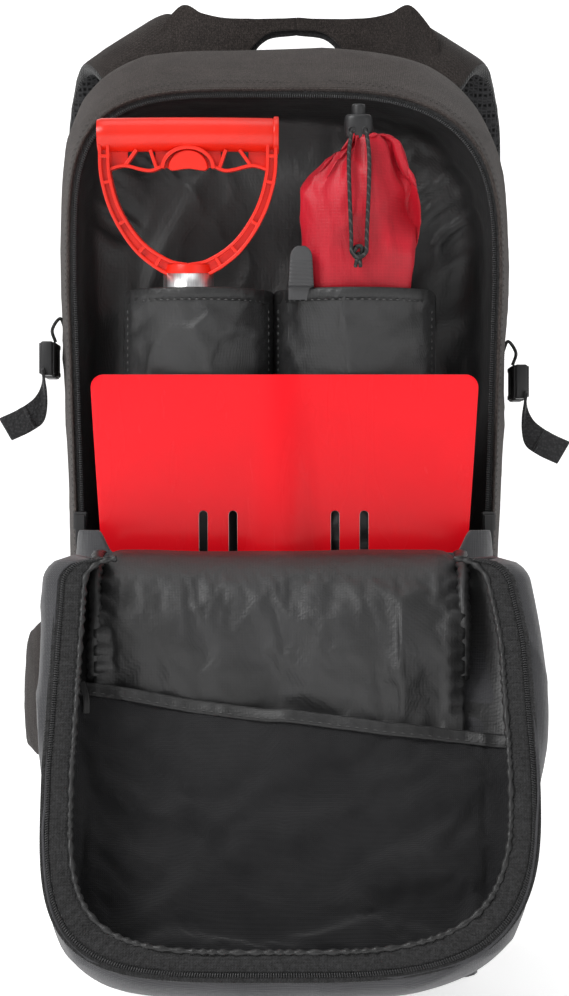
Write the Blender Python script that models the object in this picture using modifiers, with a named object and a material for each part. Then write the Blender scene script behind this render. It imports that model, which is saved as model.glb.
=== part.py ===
"""Avalanche airbag backpack with its gear compartment open, in metres, +Z up.

+X is the pack's right as seen from its front, -Y is the front (away from the wearer), +Y the wearer's
side and z = 0 the floor. The flap hangs open and the shovel and probe stand in their sleeves.
"""

from math import copysign, cos, pi, radians, sin, sqrt

import bmesh
import bpy
from mathutils import Matrix, Vector

# ---- driving dimensions ----
GAP = 0.0005
FABRIC = 0.0024
RIM_HALF, RIM_TOP, RIM_Y = 0.137, 0.553, -0.035
BACK_HALF, BACK_TOP, BACK_Y = 0.149, 0.596, 0.082
FRONT_Y = -0.100
SPRING_Z = 0.430
LEFT_SQUARENESS, RIGHT_SQUARENESS = 4.3, 3.3
NARROWING = 0.11
BASE_THICKNESS = 0.004
LINING_Y = 0.010
HINGE_Z = 0.270
FLAP_LENGTH = 0.281
FLAP_OPEN = radians(158.5)
FLAP_RIM_Y = RIM_Y - 0.0055
ZIP_WIDTH, ZIP_THICKNESS = 0.0064, 0.0016
GEAR_LEAN = radians(5)
GEAR_FOOT_Y, GEAR_FOOT_Z = -0.014, 0.020
HANDLE_X = -0.060
SHAFT_RADIUS, SHAFT_WALL = 0.0155, 0.0014
BAR_ALONG, BAR_RADIUS, BAR_HALF = 0.5024, 0.0106, 0.0565
NECK_DROP = 0.092
HEM_Z = 0.425
SLEEVE_LEFT, SLEEVE_MIDDLE, SLEEVE_RIGHT = -0.102, -0.007, 0.096
BLADE_HALF, BLADE_TOP, BLADE_BOTTOM, BLADE_Y = 0.1205, 0.3545, 0.070, -0.0225
PROBE_X = 0.046
STRAP_HALF, STRAP_THICKNESS = 0.034, 0.012
WEBBING_THICKNESS = 0.0016

BLACK = (0.012, 0.012, 0.013)
CHARCOAL = (0.045, 0.043, 0.044)
LINING_GREY = (0.038, 0.038, 0.040)
RED = (0.80, 0.010, 0.014)
GRIP_RED = (0.85, 0.045, 0.022)
BAG_RED = (0.50, 0.012, 0.022)
SILVER = (0.72, 0.72, 0.74)


# ---- scene and helpers ----
def clear_scene():
    for obj in list(bpy.data.objects):
        bpy.data.objects.remove(obj, do_unlink=True)
    parts = bpy.data.collections.new("avalanche_backpack")
    cutters = bpy.data.collections.new("cutters")
    for collection in (parts, cutters):
        bpy.context.scene.collection.children.link(collection)
    return parts, cutters


PARTS, CUTTERS = clear_scene()


def finish(obj, colour, roughness=0.8, metallic=0.0):
    """Gives the node its own material and links it with the parts."""
    material = bpy.data.materials.new(obj.name)
    material.use_nodes = True
    shader = material.node_tree.nodes["Principled BSDF"]
    shader.inputs["Base Color"].default_value = (*colour, 1.0)
    shader.inputs["Roughness"].default_value = roughness
    shader.inputs["Metallic"].default_value = metallic
    obj.data.materials.clear()
    obj.data.materials.append(material)
    if obj.name not in PARTS.objects:
        PARTS.objects.link(obj)
    return obj


def mesh_object(name, points, faces, origin=(0, 0, 0)):
    """A mesh from world points, with its object origin at `origin`."""
    base = Vector(origin)
    mesh = bpy.data.meshes.new(name)
    mesh.from_pydata([Vector(point) - base for point in points], [], faces)
    mesh.update()
    obj = bpy.data.objects.new(name, mesh)
    obj.location = base
    return obj


def from_bmesh(name, made, origin=(0, 0, 0)):
    mesh = bpy.data.meshes.new(name)
    made.to_mesh(mesh)
    made.free()
    obj = bpy.data.objects.new(name, mesh)
    obj.location = origin
    return obj


def lerp(a, b, share):
    return a + (b - a) * share


def spread(start, end, count):
    """`count` even values from start to end."""
    return [lerp(start, end, index / (count - 1)) for index in range(count)]


def spline(points, per_segment=4):
    """A smooth Catmull-Rom route through the points."""
    knots = [Vector(point) for point in points]
    knots = [2 * knots[0] - knots[1], *knots, 2 * knots[-1] - knots[-2]]
    route = []
    for a, b, c, d in zip(knots, knots[1:], knots[2:], knots[3:]):
        for step in range(per_segment):
            t = step / per_segment
            curve = 2 * b + (c - a) * t + (2 * a - 5 * b + 4 * c - d) * t**2
            route.append(0.5 * (curve + (3 * b - a - 3 * c + d) * t**3))
    route.append(knots[-2])
    return route


def sheet(name, rows, thickness, colour, roughness=0.8, metallic=0.0, origin=(0, 0, 0), even=True):
    """A fabric or sheet-metal panel: an open grid of points given an even thickness."""
    across = len(rows[0])
    points = [point for row in rows for point in row]
    faces = [
        (r * across + c, r * across + c + 1, (r + 1) * across + c + 1, (r + 1) * across + c)
        for r in range(len(rows) - 1)
        for c in range(across - 1)
    ]
    obj = mesh_object(name, points, faces, origin)
    solidify = obj.modifiers.new("thickness", "SOLIDIFY")
    solidify.thickness = thickness
    solidify.offset = 0
    solidify.use_even_offset = even
    return finish(obj, colour, roughness, metallic)


def ribbon(name, route, across, thickness, colour, roughness=0.85, origin=(0, 0, 0)):
    """A strap: at each route point, `across` gives the vector from the middle to one edge."""
    rows = [[point - side, point, point + side] for point, side in zip(route, across)]
    return sheet(name, rows, thickness, colour, roughness, 0.0, origin)


def loft(name, rings, colour, roughness=0.6, metallic=0.0, origin=(0, 0, 0)):
    """A solid skinned over closed rings with the same number of points, with a flat cap at each end."""
    count = len(rings[0])
    points = [point for ring in rings for point in ring]
    faces = [
        (r * count + c, r * count + (c + 1) % count, (r + 1) * count + (c + 1) % count, (r + 1) * count + c)
        for r in range(len(rings) - 1)
        for c in range(count)
    ]
    faces.append(tuple(reversed(range(count))))
    faces.append(tuple(range((len(rings) - 1) * count, len(rings) * count)))
    obj = mesh_object(name, points, faces, origin)
    made = bmesh.new()
    made.from_mesh(obj.data)
    bmesh.ops.recalc_face_normals(made, faces=made.faces)
    made.to_mesh(obj.data)
    made.free()
    return finish(obj, colour, roughness, metallic)


def box(name, low, high, colour, roughness=0.5, metallic=0.0, bevel=0.001, origin=None):
    """A block between two corners, with softened edges. Its origin is its centre unless one is given."""
    low, high = Vector(low), Vector(high)
    centre = (low + high) / 2
    base = Vector(origin) if origin is not None else centre
    made = bmesh.new()
    size = Matrix.Diagonal((*(high - low), 1))
    bmesh.ops.create_cube(made, size=1, matrix=Matrix.Translation(centre - base) @ size)
    obj = from_bmesh(name, made, base)
    if bevel:
        edge = obj.modifiers.new("softened edges", "BEVEL")
        edge.width = bevel
        edge.segments = 1
    return finish(obj, colour, roughness, metallic)


def rod(name, start, end, radius, colour, roughness=0.4, metallic=0.0, end_radius=None, segments=24):
    """A round bar or cone between two points, with its origin at the start."""
    start, end = Vector(start), Vector(end)
    along = end - start
    made = bmesh.new()
    turn = along.to_track_quat("Z", "Y").to_matrix().to_4x4()
    bmesh.ops.create_cone(
        made,
        cap_ends=True,
        segments=segments,
        radius1=radius,
        radius2=radius if end_radius is None else end_radius,
        depth=along.length,
        matrix=turn @ Matrix.Translation((0, 0, along.length / 2)),
    )
    return finish(from_bmesh(name, made, start), colour, roughness, metallic)


def turned(name, foot, profile, colour, roughness=0.35, metallic=0.0, steps=28):
    """A solid of revolution about the vertical through `foot`; the profile is (radius, height) down the side."""
    points = [(radius, 0, height) for radius, height in profile]
    mesh = bpy.data.meshes.new(name)
    mesh.from_pydata(points, [(i, i + 1) for i in range(len(points) - 1)], [])
    obj = bpy.data.objects.new(name, mesh)
    obj.location = foot
    screw = obj.modifiers.new("turning", "SCREW")
    screw.steps = steps
    screw.render_steps = steps
    screw.use_merge_vertices = True
    screw.merge_threshold = 0.0001
    return finish(obj, colour, roughness, metallic)


def tube(name, route, radius, colour, roughness=0.6):
    """A round cord or cable along a route, with closed ends."""
    curve = bpy.data.curves.new(name, "CURVE")
    curve.dimensions = "3D"
    curve.bevel_depth = radius
    curve.bevel_resolution = 2
    curve.use_fill_caps = True
    path = curve.splines.new("POLY")
    path.points.add(len(route) - 1)
    for point, place in zip(path.points, route):
        point.co = (*place, 1)
    return finish(bpy.data.objects.new(name, curve), colour, roughness)


def combine(obj, other, operation):
    """Cuts or joins `other`, which is kept as a hidden helper."""
    if other.name in PARTS.objects:
        PARTS.objects.unlink(other)
    CUTTERS.objects.link(other)
    other.hide_render = True
    other.display_type = "WIRE"
    boolean = obj.modifiers.new(other.name, "BOOLEAN")
    boolean.operation = operation
    boolean.solver = "EXACT"
    boolean.object = other


def place(obj, location, turn=(0, 0, 0)):
    obj.location = location
    obj.rotation_euler = turn
    return obj


# ---- body outline ----
def half_at(z, half):
    """The body narrows a little below the arch."""
    return half * (1 - NARROWING * max(0.0, SPRING_Z - z) / SPRING_Z)


def arch_point(angle, half, top):
    """A point of the squared arch, from the right spring (0) to the left one (pi)."""
    side = cos(angle)
    power = 2 / (RIGHT_SQUARENESS if side >= 0 else LEFT_SQUARENESS)
    x = half * copysign(abs(side) ** power, side)
    return x, SPRING_Z + (top - SPRING_Z) * max(0.0, sin(angle)) ** power


def outline(half, top, low, side_steps=7, arch_steps=20):
    """(x, z) points up the left side, over the arch and down the right side."""
    sides = [(half_at(z, half), z) for z in spread(low, SPRING_Z, side_steps)][:-1]
    left = [(-x, z) for x, z in sides]
    arch = [arch_point(angle, half, top) for angle in spread(pi, 0, arch_steps)]
    return left + arch + sides[::-1]


def wall_shape(depth):
    """Half width, top and y of the body wall, from the zip rim (0) to the back edge (1)."""
    swell = sin(depth * pi / 2)
    half = lerp(RIM_HALF, BACK_HALF, swell) - FABRIC / 2
    top = lerp(RIM_TOP, BACK_TOP, swell) - FABRIC / 2
    return half, top, lerp(RIM_Y, BACK_Y - FABRIC - GAP, depth)


def inner_outline(y, low, inset, **steps):
    """The outline of a panel that just fits inside the body wall at this depth."""
    depth = (y - RIM_Y) / (BACK_Y - FABRIC - GAP - RIM_Y)
    half, top, _ = wall_shape(depth)
    return outline(half - inset, top - inset, low, **steps)


def plate(name, points, y, thickness, colour, roughness=0.8, metallic=0.0):
    """A flat panel facing the front, cut to an (x, z) outline."""
    curve = bpy.data.curves.new(name, "CURVE")
    curve.dimensions = "2D"
    curve.fill_mode = "BOTH"
    curve.extrude = thickness / 2
    path = curve.splines.new("POLY")
    path.points.add(len(points) - 1)
    for point, (x, z) in zip(path.points, points):
        point.co = (x, z, 0, 1)
    path.use_cyclic_u = True
    obj = finish(bpy.data.objects.new(name, curve), colour, roughness, metallic)
    return place(obj, (0, y, 0), (pi / 2, 0, 0))


# ---- body panels ----
def body_panels():
    depths = spread(0, 1, 6)
    for side, label in ((-1, "left"), (1, "right")):
        rows = []
        for depth in depths:
            half, _, y = wall_shape(depth)
            levels = spread(BASE_THICKNESS + 2 * GAP, SPRING_Z - GAP, 8)
            rows.append([(side * half_at(z, half), y, z) for z in levels])
        sheet(f"side_panel_{label}", rows, FABRIC, CHARCOAL, 0.9)
    rows = []
    for depth in depths:
        half, top, y = wall_shape(depth)
        arch = [arch_point(angle, half, top) for angle in spread(pi, 0, 25)]
        rows.append([(x, y, z + GAP) for x, z in arch])
    top_panel = sheet("top_panel", rows, FABRIC, CHARCOAL, 0.9)
    hole = rod("cable_grommet_hole", (-0.0862, 0.0515, 0.5575), (-0.0893, 0.0670, 0.6060), 0.0044, BLACK)
    combine(top_panel, hole, "DIFFERENCE")
    back = outline(BACK_HALF, BACK_TOP, BASE_THICKNESS + 2 * GAP)
    plate("back_panel", back, BACK_Y + FABRIC / 2, FABRIC, CHARCOAL, 0.9)


def front_curve(z, inset=0.0):
    """Plan of the lower front wall at this height, left to right."""
    half = half_at(z, RIM_HALF) - FABRIC / 2 - inset
    tuck = 1 - 0.14 * (1 - min(1.0, z / 0.05)) ** 2
    depth = (RIM_Y - 2 * GAP - FRONT_Y) * tuck - inset
    corner = 2 / 4.5
    plan = []
    for angle in spread(pi, 0, 19):
        x = half * copysign(abs(cos(angle)) ** corner, cos(angle))
        plan.append((x, RIM_Y - 2 * GAP - depth * max(0.0, sin(angle)) ** corner, z))
    return plan


def lower_body():
    levels = [BASE_THICKNESS + 2 * GAP, 0.015, 0.030, 0.050, 0.120, 0.190, HINGE_Z - 0.008]
    sheet("lower_front_panel", [front_curve(z) for z in levels], FABRIC, CHARCOAL, 0.85)
    front = [(x, y) for x, y, _ in front_curve(0.0)]
    half = half_at(0.0, BACK_HALF)
    points = [(half - 0.002, BACK_Y + FABRIC), (-half + 0.002, BACK_Y + FABRIC), *front]
    curve = bpy.data.curves.new("base_panel", "CURVE")
    curve.dimensions = "2D"
    curve.fill_mode = "BOTH"
    curve.extrude = BASE_THICKNESS / 2
    path = curve.splines.new("POLY")
    path.points.add(len(points) - 1)
    for point, (x, y) in zip(path.points, points):
        point.co = (x, y, 0, 1)
    path.use_cyclic_u = True
    base = finish(bpy.data.objects.new("base_panel", curve), CHARCOAL, 0.8)
    base.location = (0, 0, BASE_THICKNESS / 2)


def lining():
    inset = FABRIC / 2 + GAP
    points = inner_outline(LINING_Y, BASE_THICKNESS + 2 * GAP, inset + 0.0008)
    plate("lining_panel", points, LINING_Y, FABRIC, LINING_GREY, 0.45)


def sleeve_depth(z):
    """How far the sleeves stand off the lining, following the leaning gear."""
    return 0.0405 + (z - 0.030) * (0.0355 / (HEM_Z - 0.030))


def sleeve_pocket():
    """One panel sewn down at three seams makes the two gear sleeves."""
    seam_y = LINING_Y - FABRIC / 2 - GAP - 0.0006
    seams = ((SLEEVE_LEFT, SLEEVE_MIDDLE), (SLEEVE_MIDDLE, SLEEVE_RIGHT))
    rows = []
    for z in spread(0.030, HEM_Z, 5):
        row = []
        for start, end in seams:
            for share in spread(0, 1, 15):
                if row and share == 0:
                    continue
                rise = sin(pi * share) ** 0.24 if 0 < share < 1 else 0.0
                row.append((lerp(start, end, share), seam_y - sleeve_depth(z) * rise, z))
        rows.append(row)
    sheet("sleeve_pocket", rows, 0.0012, LINING_GREY, 0.5, even=False)


def pull_tab():
    """A moulded tab that stands on the right sleeve's hem, leaning forward beside the probe bag."""
    foot, shoulder, tip = 0.0078, 0.0070, 0.0040
    height, lean_forward = 0.025, radians(9)
    half_shape = [(foot, 0.0), (shoulder, height * 0.8), (tip, height)]
    points = half_shape + [(-x, z) for x, z in reversed(half_shape)]
    tab = plate("pull_tab", points, 0, 0.003, (0.05, 0.05, 0.052), 0.5)
    place(tab, (0.0103, -0.064, HEM_Z + 2 * GAP), (pi / 2 + lean_forward, 0, 0))


# ---- zip ----
def zip_chain(name, half, top, low, y, origin=(0, 0, 0)):
    """A zip half that follows the rim, as a flat band."""
    edge = outline(half - 0.0004, top - 0.0004, low, 6, 23)
    inner = outline(half - ZIP_WIDTH, top - ZIP_WIDTH, low, 6, 23)
    rows = [[(x, y, z) for x, z in edge], [(x, y, z) for x, z in inner]]
    return sheet(name, rows, ZIP_THICKNESS, BLACK, 0.5, 0.0, origin)


def body_zip():
    zip_chain("body_zip", RIM_HALF, RIM_TOP, HINGE_Z - 0.004, RIM_Y - GAP - ZIP_THICKNESS / 2)
    low = HINGE_Z + 0.004
    for side, label in ((-1, "left"), (1, "right")):
        x = side * (half_at(low, RIM_HALF) - ZIP_WIDTH / 2)
        face = RIM_Y - 2 * GAP - ZIP_THICKNESS
        near, far = (x - 0.0045, face - 0.004, low), (x + 0.0045, face, low + 0.012)
        box(f"zip_slider_{label}", near, far, BLACK, 0.35, 0.6)
        top = low + 0.010
        pull = box(
            f"zip_pull_{label}",
            (x - 0.003, face - 0.0062, top - 0.019),
            (x + 0.003, face - 0.0045, top),
            BLACK,
            0.6,
            origin=(x, face - 0.0054, top),
        )
        pull.modifiers["softened edges"].width = 0.0005


# ---- flap ----
def flap_turn():
    """From the closed pose to the open rest pose, about the hinge line."""
    hinge = Vector((0, FRONT_Y, HINGE_Z))
    return Matrix.Translation(hinge) @ Matrix.Rotation(FLAP_OPEN, 4, "X") @ Matrix.Translation(-hinge)


def opened(obj):
    """Hangs a node that was built in the closed pose, with its origin on the hinge line."""
    obj.rotation_euler = (FLAP_OPEN, 0, 0)
    return obj


def flap():
    hinge = (0, FRONT_Y, HINGE_Z)
    low = HINGE_Z + 0.0016
    top = HINGE_Z + FLAP_LENGTH
    edge = outline(RIM_HALF - FABRIC / 2, top - FABRIC / 2, low, 7, 23)
    wall = ((1.0, 0.0), (1.006, 0.35), (1.004, 0.72), (0.98, 0.93))
    floor = ((0.93, 1.0), (0.62, 1.0), (0.3, 1.0), (0.04, 1.0))
    corner_cut = 0.026
    rows = []
    for share, depth in wall + floor:
        row = []
        for x, z in edge:
            lift = corner_cut * (1 - depth) * max(0.0, 1 - (z - low) / (SPRING_Z - low))
            y = lerp(FLAP_RIM_Y, FRONT_Y, depth)
            row.append((x * share, y, low + (z - low) * share + lift))
        rows.append(row)
    opened(sheet("flap_shell", rows, 0.002, CHARCOAL, 0.7, 0.0, hinge))
    zip_y = FLAP_RIM_Y + GAP + ZIP_THICKNESS / 2
    opened(zip_chain("flap_zip", RIM_HALF, top, low + corner_cut, zip_y, hinge))

    opened(flap_pocket(top, hinge))


def arch_half(z, half, top, squareness):
    """Half width of one side of the arch at this height."""
    share = max(0.0, z - SPRING_Z) / (top - SPRING_Z)
    return half_at(z, half) * (1 - min(1.0, share) ** squareness) ** (1 / squareness)


def flap_pocket(top, hinge):
    """A panel sewn round the flap's end, open along a slanted hem."""
    inset = 0.012
    hem_left, hem_right = 0.360, 0.398
    half, end = RIM_HALF - inset, top - inset
    rows = []
    for share in (0, 0.25, 0.5, 0.7, 0.85, 0.95, 0.995):
        row = []
        for across in spread(-1, 1, 13):
            hem = lerp(hem_left, hem_right, (across + 1) / 2)
            z = lerp(hem, end, share)
            squareness = LEFT_SQUARENESS if across < 0 else RIGHT_SQUARENESS
            dish = (1 - across**4) * (1 - share**6)
            y = lerp(FLAP_RIM_Y, FRONT_Y, lerp(0.66, 0.86, dish))
            row.append((across * arch_half(z, half, end, squareness), y, z))
        rows.append(row)
    return sheet("flap_pocket", rows, 0.0012, BLACK, 0.9, 0.0, hinge)


# ---- shovel ----
def lean(obj, x):
    """Stands a gear node, built along its own axis, in its sleeve."""
    return place(obj, (x, GEAR_FOOT_Y, GEAR_FOOT_Z), (GEAR_LEAN, 0, 0))


def shovel_blade():
    rows = []
    corner = 0.018
    levels = [BLADE_BOTTOM, 0.085, 0.105, 0.140, 0.190, 0.235, 0.285, BLADE_TOP - corner]
    levels += [BLADE_TOP - corner * (1 - sin(angle)) for angle in spread(pi / 8, pi / 2, 4)]
    for z in levels:
        half = lerp(0.098, BLADE_HALF, min(1.0, max(0.0, (z - 0.105) / (BLADE_TOP - 0.105))) ** 0.6)
        if z < 0.105:
            half = lerp(0.030, 0.098, sqrt(max(0.0, (z - BLADE_BOTTOM) / (0.105 - BLADE_BOTTOM))))
        into_corner = max(0.0, z - (BLADE_TOP - corner))
        half -= corner - sqrt(max(0.0, corner**2 - into_corner**2))
        ridge = 0.015 * max(0.0, 1 - (z - BLADE_BOTTOM) / 0.26) ** 1.4
        ridge_half = lerp(0.022, 0.010, (z - BLADE_BOTTOM) / (BLADE_TOP - BLADE_BOTTOM))
        row = []
        for share in (-1, -0.72, -0.44, -0.22, -0.13, -0.06, 0, 0.06, 0.13, 0.22, 0.44, 0.72, 1):
            x = share * half
            bump = ridge * max(0.0, cos(pi / 2 * min(1.0, abs(x) / ridge_half)))
            row.append((x, BLADE_Y - bump, z))
        rows.append(row)
    blade = lean(sheet("shovel_blade", rows, 0.0016, RED, 0.15), 0)
    for x in (-0.0505, -0.0320, 0.0315, 0.0495):
        low, high = (x - 0.0028, BLADE_Y - 0.02, 0.238), (x + 0.0028, BLADE_Y + 0.02, 0.270)
        slot = box("blade_slot", low, high, BLACK, bevel=0.0026, origin=(0, 0, 0))
        combine(blade, lean(slot, 0), "DIFFERENCE")


def shaft_ring(radius, z, sides=24):
    return [(radius * cos(2 * pi * i / sides), radius * sin(2 * pi * i / sides), z) for i in range(sides)]


def grip():
    """The D-grip: a curved channel frame below a round bar, on a short neck."""
    bow = [(-0.0510, 0, -0.004), (-0.0490, 0, -0.026), (-0.0430, 0, -0.048)]
    bow += [(-0.0300, 0, -0.068), (-0.0130, 0, -0.080), (0, 0, -0.083)]
    route = spline(bow, 3)
    route = route[:-1] + [Vector((-p.x, 0, p.z)) for p in reversed(route)]
    rings = []
    for index, point in enumerate(route):
        ahead = route[min(index + 1, len(route) - 1)] - route[max(index - 1, 0)]
        out = Vector((-ahead.z, 0, ahead.x)).normalized() * 0.0060
        deep = Vector((0, 0.0088, 0))
        centre = point + Vector((0, 0, BAR_ALONG))
        rings.append([centre + out + deep, centre - out + deep, centre - out - deep, centre + out - deep])
    handle = lean(loft("shovel_grip", rings, GRIP_RED, 0.35), HANDLE_X)
    bar = rod("grip_bar", (-BAR_HALF, 0, 0), (BAR_HALF, 0, 0), BAR_RADIUS, GRIP_RED)
    bar_place = Matrix.Translation((HANDLE_X, GEAR_FOOT_Y, GEAR_FOOT_Z)) @ Matrix.Rotation(GEAR_LEAN, 4, "X")
    bar.matrix_world = bar_place @ Matrix.Translation((-BAR_HALF, 0, BAR_ALONG))
    combine(handle, bar, "UNION")
    neck = rod("grip_neck", (0, 0, BAR_ALONG - NECK_DROP), (0, 0, BAR_ALONG - 0.080), 0.0175, GRIP_RED)
    neck.matrix_world = bar_place @ Matrix.Translation((0, 0, BAR_ALONG - NECK_DROP))
    combine(handle, neck, "UNION")


def tube_profile(outer, inner, low, high):
    """The closed profile of a pipe, for turning."""
    return [(outer, high), (outer, low), (inner, low), (inner, high), (outer, high)]


def shafts():
    neck_low = BAR_ALONG - NECK_DROP - GAP
    inner = SHAFT_RADIUS - SHAFT_WALL
    pipe = tube_profile(SHAFT_RADIUS, inner, 0.050, neck_low)
    lean(turned("shaft_upper", (0, 0, 0), pipe, SILVER, 0.3, 1.0), HANDLE_X)
    slim = inner - 0.0004
    pipe = tube_profile(slim, slim - SHAFT_WALL, 0.010, 0.300)
    lower = lean(turned("shaft_lower", (0, 0, 0), pipe, SILVER, 0.3, 1.0), HANDLE_X)
    hole = rod("button_hole", (0, 0, 0), (0, 0, 0.020), 0.0044, SILVER)
    sideways = Matrix.Rotation(-pi / 2, 4, "X")
    hole.matrix_world = lower.matrix_basis @ Matrix.Translation((0, -0.020, 0.038)) @ sideways
    combine(lower, hole, "DIFFERENCE")
    button = rod("shaft_button", (0, 0, 0), (0, 0, 0.0085), 0.0038, (0.5, 0.5, 0.52), 0.3, 1.0)
    button.matrix_world = lower.matrix_basis @ Matrix.Translation((0, -0.0165, 0.038)) @ sideways


# ---- probe ----
def probe_ring(along, half, depth, sides=20):
    ring = []
    for index in range(sides):
        angle = 2 * pi * index / sides
        x = half * copysign(abs(cos(angle)) ** 0.9, cos(angle))
        ring.append((x, depth * copysign(abs(sin(angle)) ** 0.9, sin(angle)), along))
    return ring


def probe():
    shape = ((0.130, 0.020, 0.0105), (0.142, 0.029, 0.0128), (0.220, 0.033, 0.0132))
    shape += ((0.340, 0.034, 0.0138), (0.405, 0.0345, 0.0140), (0.447, 0.0352, 0.0162))
    shape += ((0.472, 0.0290, 0.0150), (0.489, 0.0140, 0.0100), (0.499, 0.0080, 0.0070))
    rings = [probe_ring(*step) for step in shape]
    wall = 0.0019
    bottom = (shape[0][0] + 2 * wall, *shape[0][1:])
    inner = [probe_ring(along, half - wall, depth - wall) for along, half, depth in (*shape[:0:-1], bottom)]
    bag = loft("probe_bag", rings + inner, BAG_RED, 0.6)
    lean(bag, PROBE_X)
    sides, lobes = 48, 6
    section = []
    for index in range(sides):
        angle = 2 * pi * index / sides
        radius = 0.0098 * (1 + 0.09 * cos(lobes * angle))
        section.append((radius * cos(angle), radius * sin(angle)))
    ends = [[(x, y, along) for x, y in section] for along in (0.142, 0.470)]
    lean(loft("probe_poles", ends, SILVER, 0.3, 1.0), PROBE_X)
    lock_low, lock_high = 0.5005, 0.5155
    ends = [probe_ring(along, 0.0085, 0.0062) for along in (lock_low, lock_high)]
    lock = lean(loft("cord_lock", ends, BLACK, 0.5), PROBE_X)
    well = rod("lock_well", (0, 0, 0), (0, 0, 0.02), 0.0047, BLACK)
    well.matrix_world = lock.matrix_basis @ Matrix.Translation((0, 0, lock_high - 0.008))
    combine(lock, well, "DIFFERENCE")
    button = rod("lock_button", (0, 0, 0), (0, 0, 0.0098), 0.0043, BLACK, 0.5)
    button.matrix_world = lock.matrix_basis @ Matrix.Translation((0, 0, lock_high - 0.0035))
    run = [(-0.0046, -0.0118, lock_low + 0.004), (-0.0062, -0.0160, 0.490)]
    run += [(-0.0060, -0.0200, 0.470), (-0.0048, -0.0200, 0.440)]
    bend = 0.0048
    loop = [Vector((bend * cos(a), -0.0200, 0.432 + bend * sin(a))) for a in spread(pi, 2 * pi, 7)]
    down = spline(run, 3)
    back = [Vector((-point.x, point.y, point.z)) for point in reversed(down)]
    lean(tube("drawcord", down + loop + back, 0.0012, BLACK), PROBE_X)


# ---- airbag system ----
def airbag_system():
    """The folded airbag, its gas cylinder and release, in the compartment next to the wearer's back."""
    mid_y = 0.044
    rings = []
    for share in spread(-1, 1, 7):
        x = 0.030 + share * 0.085
        round_off = sqrt(1 - 0.5 * share**2)
        ring = []
        for angle in spread(0, 2 * pi * 15 / 16, 16):
            ring.append((x, mid_y + 0.024 * round_off * cos(angle), 0.520 + 0.030 * round_off * sin(angle)))
        rings.append(ring)
    loft("airbag_folded", rings, (0.75, 0.10, 0.02), 0.7)
    bottle_x = 0.055
    side = 0.026
    neck = [(0, 0.290), (0.011, 0.290), (0.012, 0.276), (side * 0.75, 0.262)]
    shape = neck + [(side, 0.244), (side, 0.020), (side * 0.8, 0.006), (0, 0)]
    turned("gas_cylinder", (bottle_x, mid_y, 0.070), shape, (0.62, 0.63, 0.65), 0.3, 0.9)
    head_low = 0.070 + 0.290 + GAP
    low = (bottle_x - 0.022, mid_y - 0.018, head_low)
    high = (bottle_x + 0.018, mid_y + 0.018, head_low + 0.036)
    head = box("valve_body", low, high, (0.35, 0.35, 0.37), 0.35, 0.9)
    pin_z = head_low + 0.018
    bore = rod("pin_bore", (bottle_x - 0.030, mid_y, pin_z), (bottle_x - 0.002, mid_y, pin_z), 0.0035, SILVER)
    combine(head, bore, "DIFFERENCE")
    start, end = (bottle_x - 0.006, mid_y, pin_z), (bottle_x - 0.034, mid_y, pin_z)
    rod("valve_pin", start, end, 0.0032, SILVER, 0.25, 1.0, segments=20)
    gauge_y = mid_y - 0.018 - GAP
    rear, front = Vector((bottle_x, gauge_y, pin_z)), Vector((0, -0.006, 0))
    gauge = rod("gauge_dial", rear, rear + front, 0.0125, (0.8, 0.8, 0.78), 0.4)
    face = rod("gauge_recess", rear + front / 2, rear + 3 * front, 0.0110, BLACK)
    combine(gauge, face, "DIFFERENCE")
    needle_y = gauge_y - 0.003 - GAP
    needle = [(0.0, -0.0016), (0.0016, 0.0), (0.0, 0.0088), (-0.0016, 0.0)]
    pointer = plate("gauge_needle", needle, 0, 0.0008, BLACK, 0.4)
    place(pointer, (bottle_x, needle_y - 0.0004, pin_z), (pi / 2, 0, 0))
    venturi = [(0, 0.060), (0.021, 0.060), (0.021, 0.046), (0.012, 0.030), (0.012, 0), (0, 0)]
    turned("ejector", (bottle_x, mid_y, head_low + 0.036 + GAP), venturi, BLACK, 0.5)


# ---- harness ----
def strap_stations(side):
    """Centre, tilt in degrees: the strap rises off the back panel, arches over and comes down."""
    return [
        (Vector((side * 0.080, 0.0905, 0.540)), 14),
        (Vector((side * 0.088, 0.0960, 0.580)), 26),
        (Vector((side * 0.103, 0.1120, 0.606)), 33),
        (Vector((side * 0.113, 0.1360, 0.604)), 28),
        (Vector((side * 0.118, 0.1560, 0.570)), 14),
        (Vector((side * 0.120, 0.1660, 0.510)), 4),
        (Vector((side * 0.120, 0.1680, 0.440)), 0),
        (Vector((side * 0.120, 0.1680, 0.370)), 0),
        (Vector((side * 0.114, 0.1580, 0.310)), 0),
        (Vector((side * 0.106, 0.1380, 0.262)), 0),
    ]


def strap_route(side, per_segment=3):
    stations = strap_stations(side)
    route = spline([centre for centre, _ in stations], per_segment)
    tilts = [item.x for item in spline([Vector((tilt, 0, 0)) for _, tilt in stations], per_segment)]
    sides = [Vector((side * cos(radians(t)), 0, -sin(radians(t)))) for t in tilts]
    return route, sides


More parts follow.
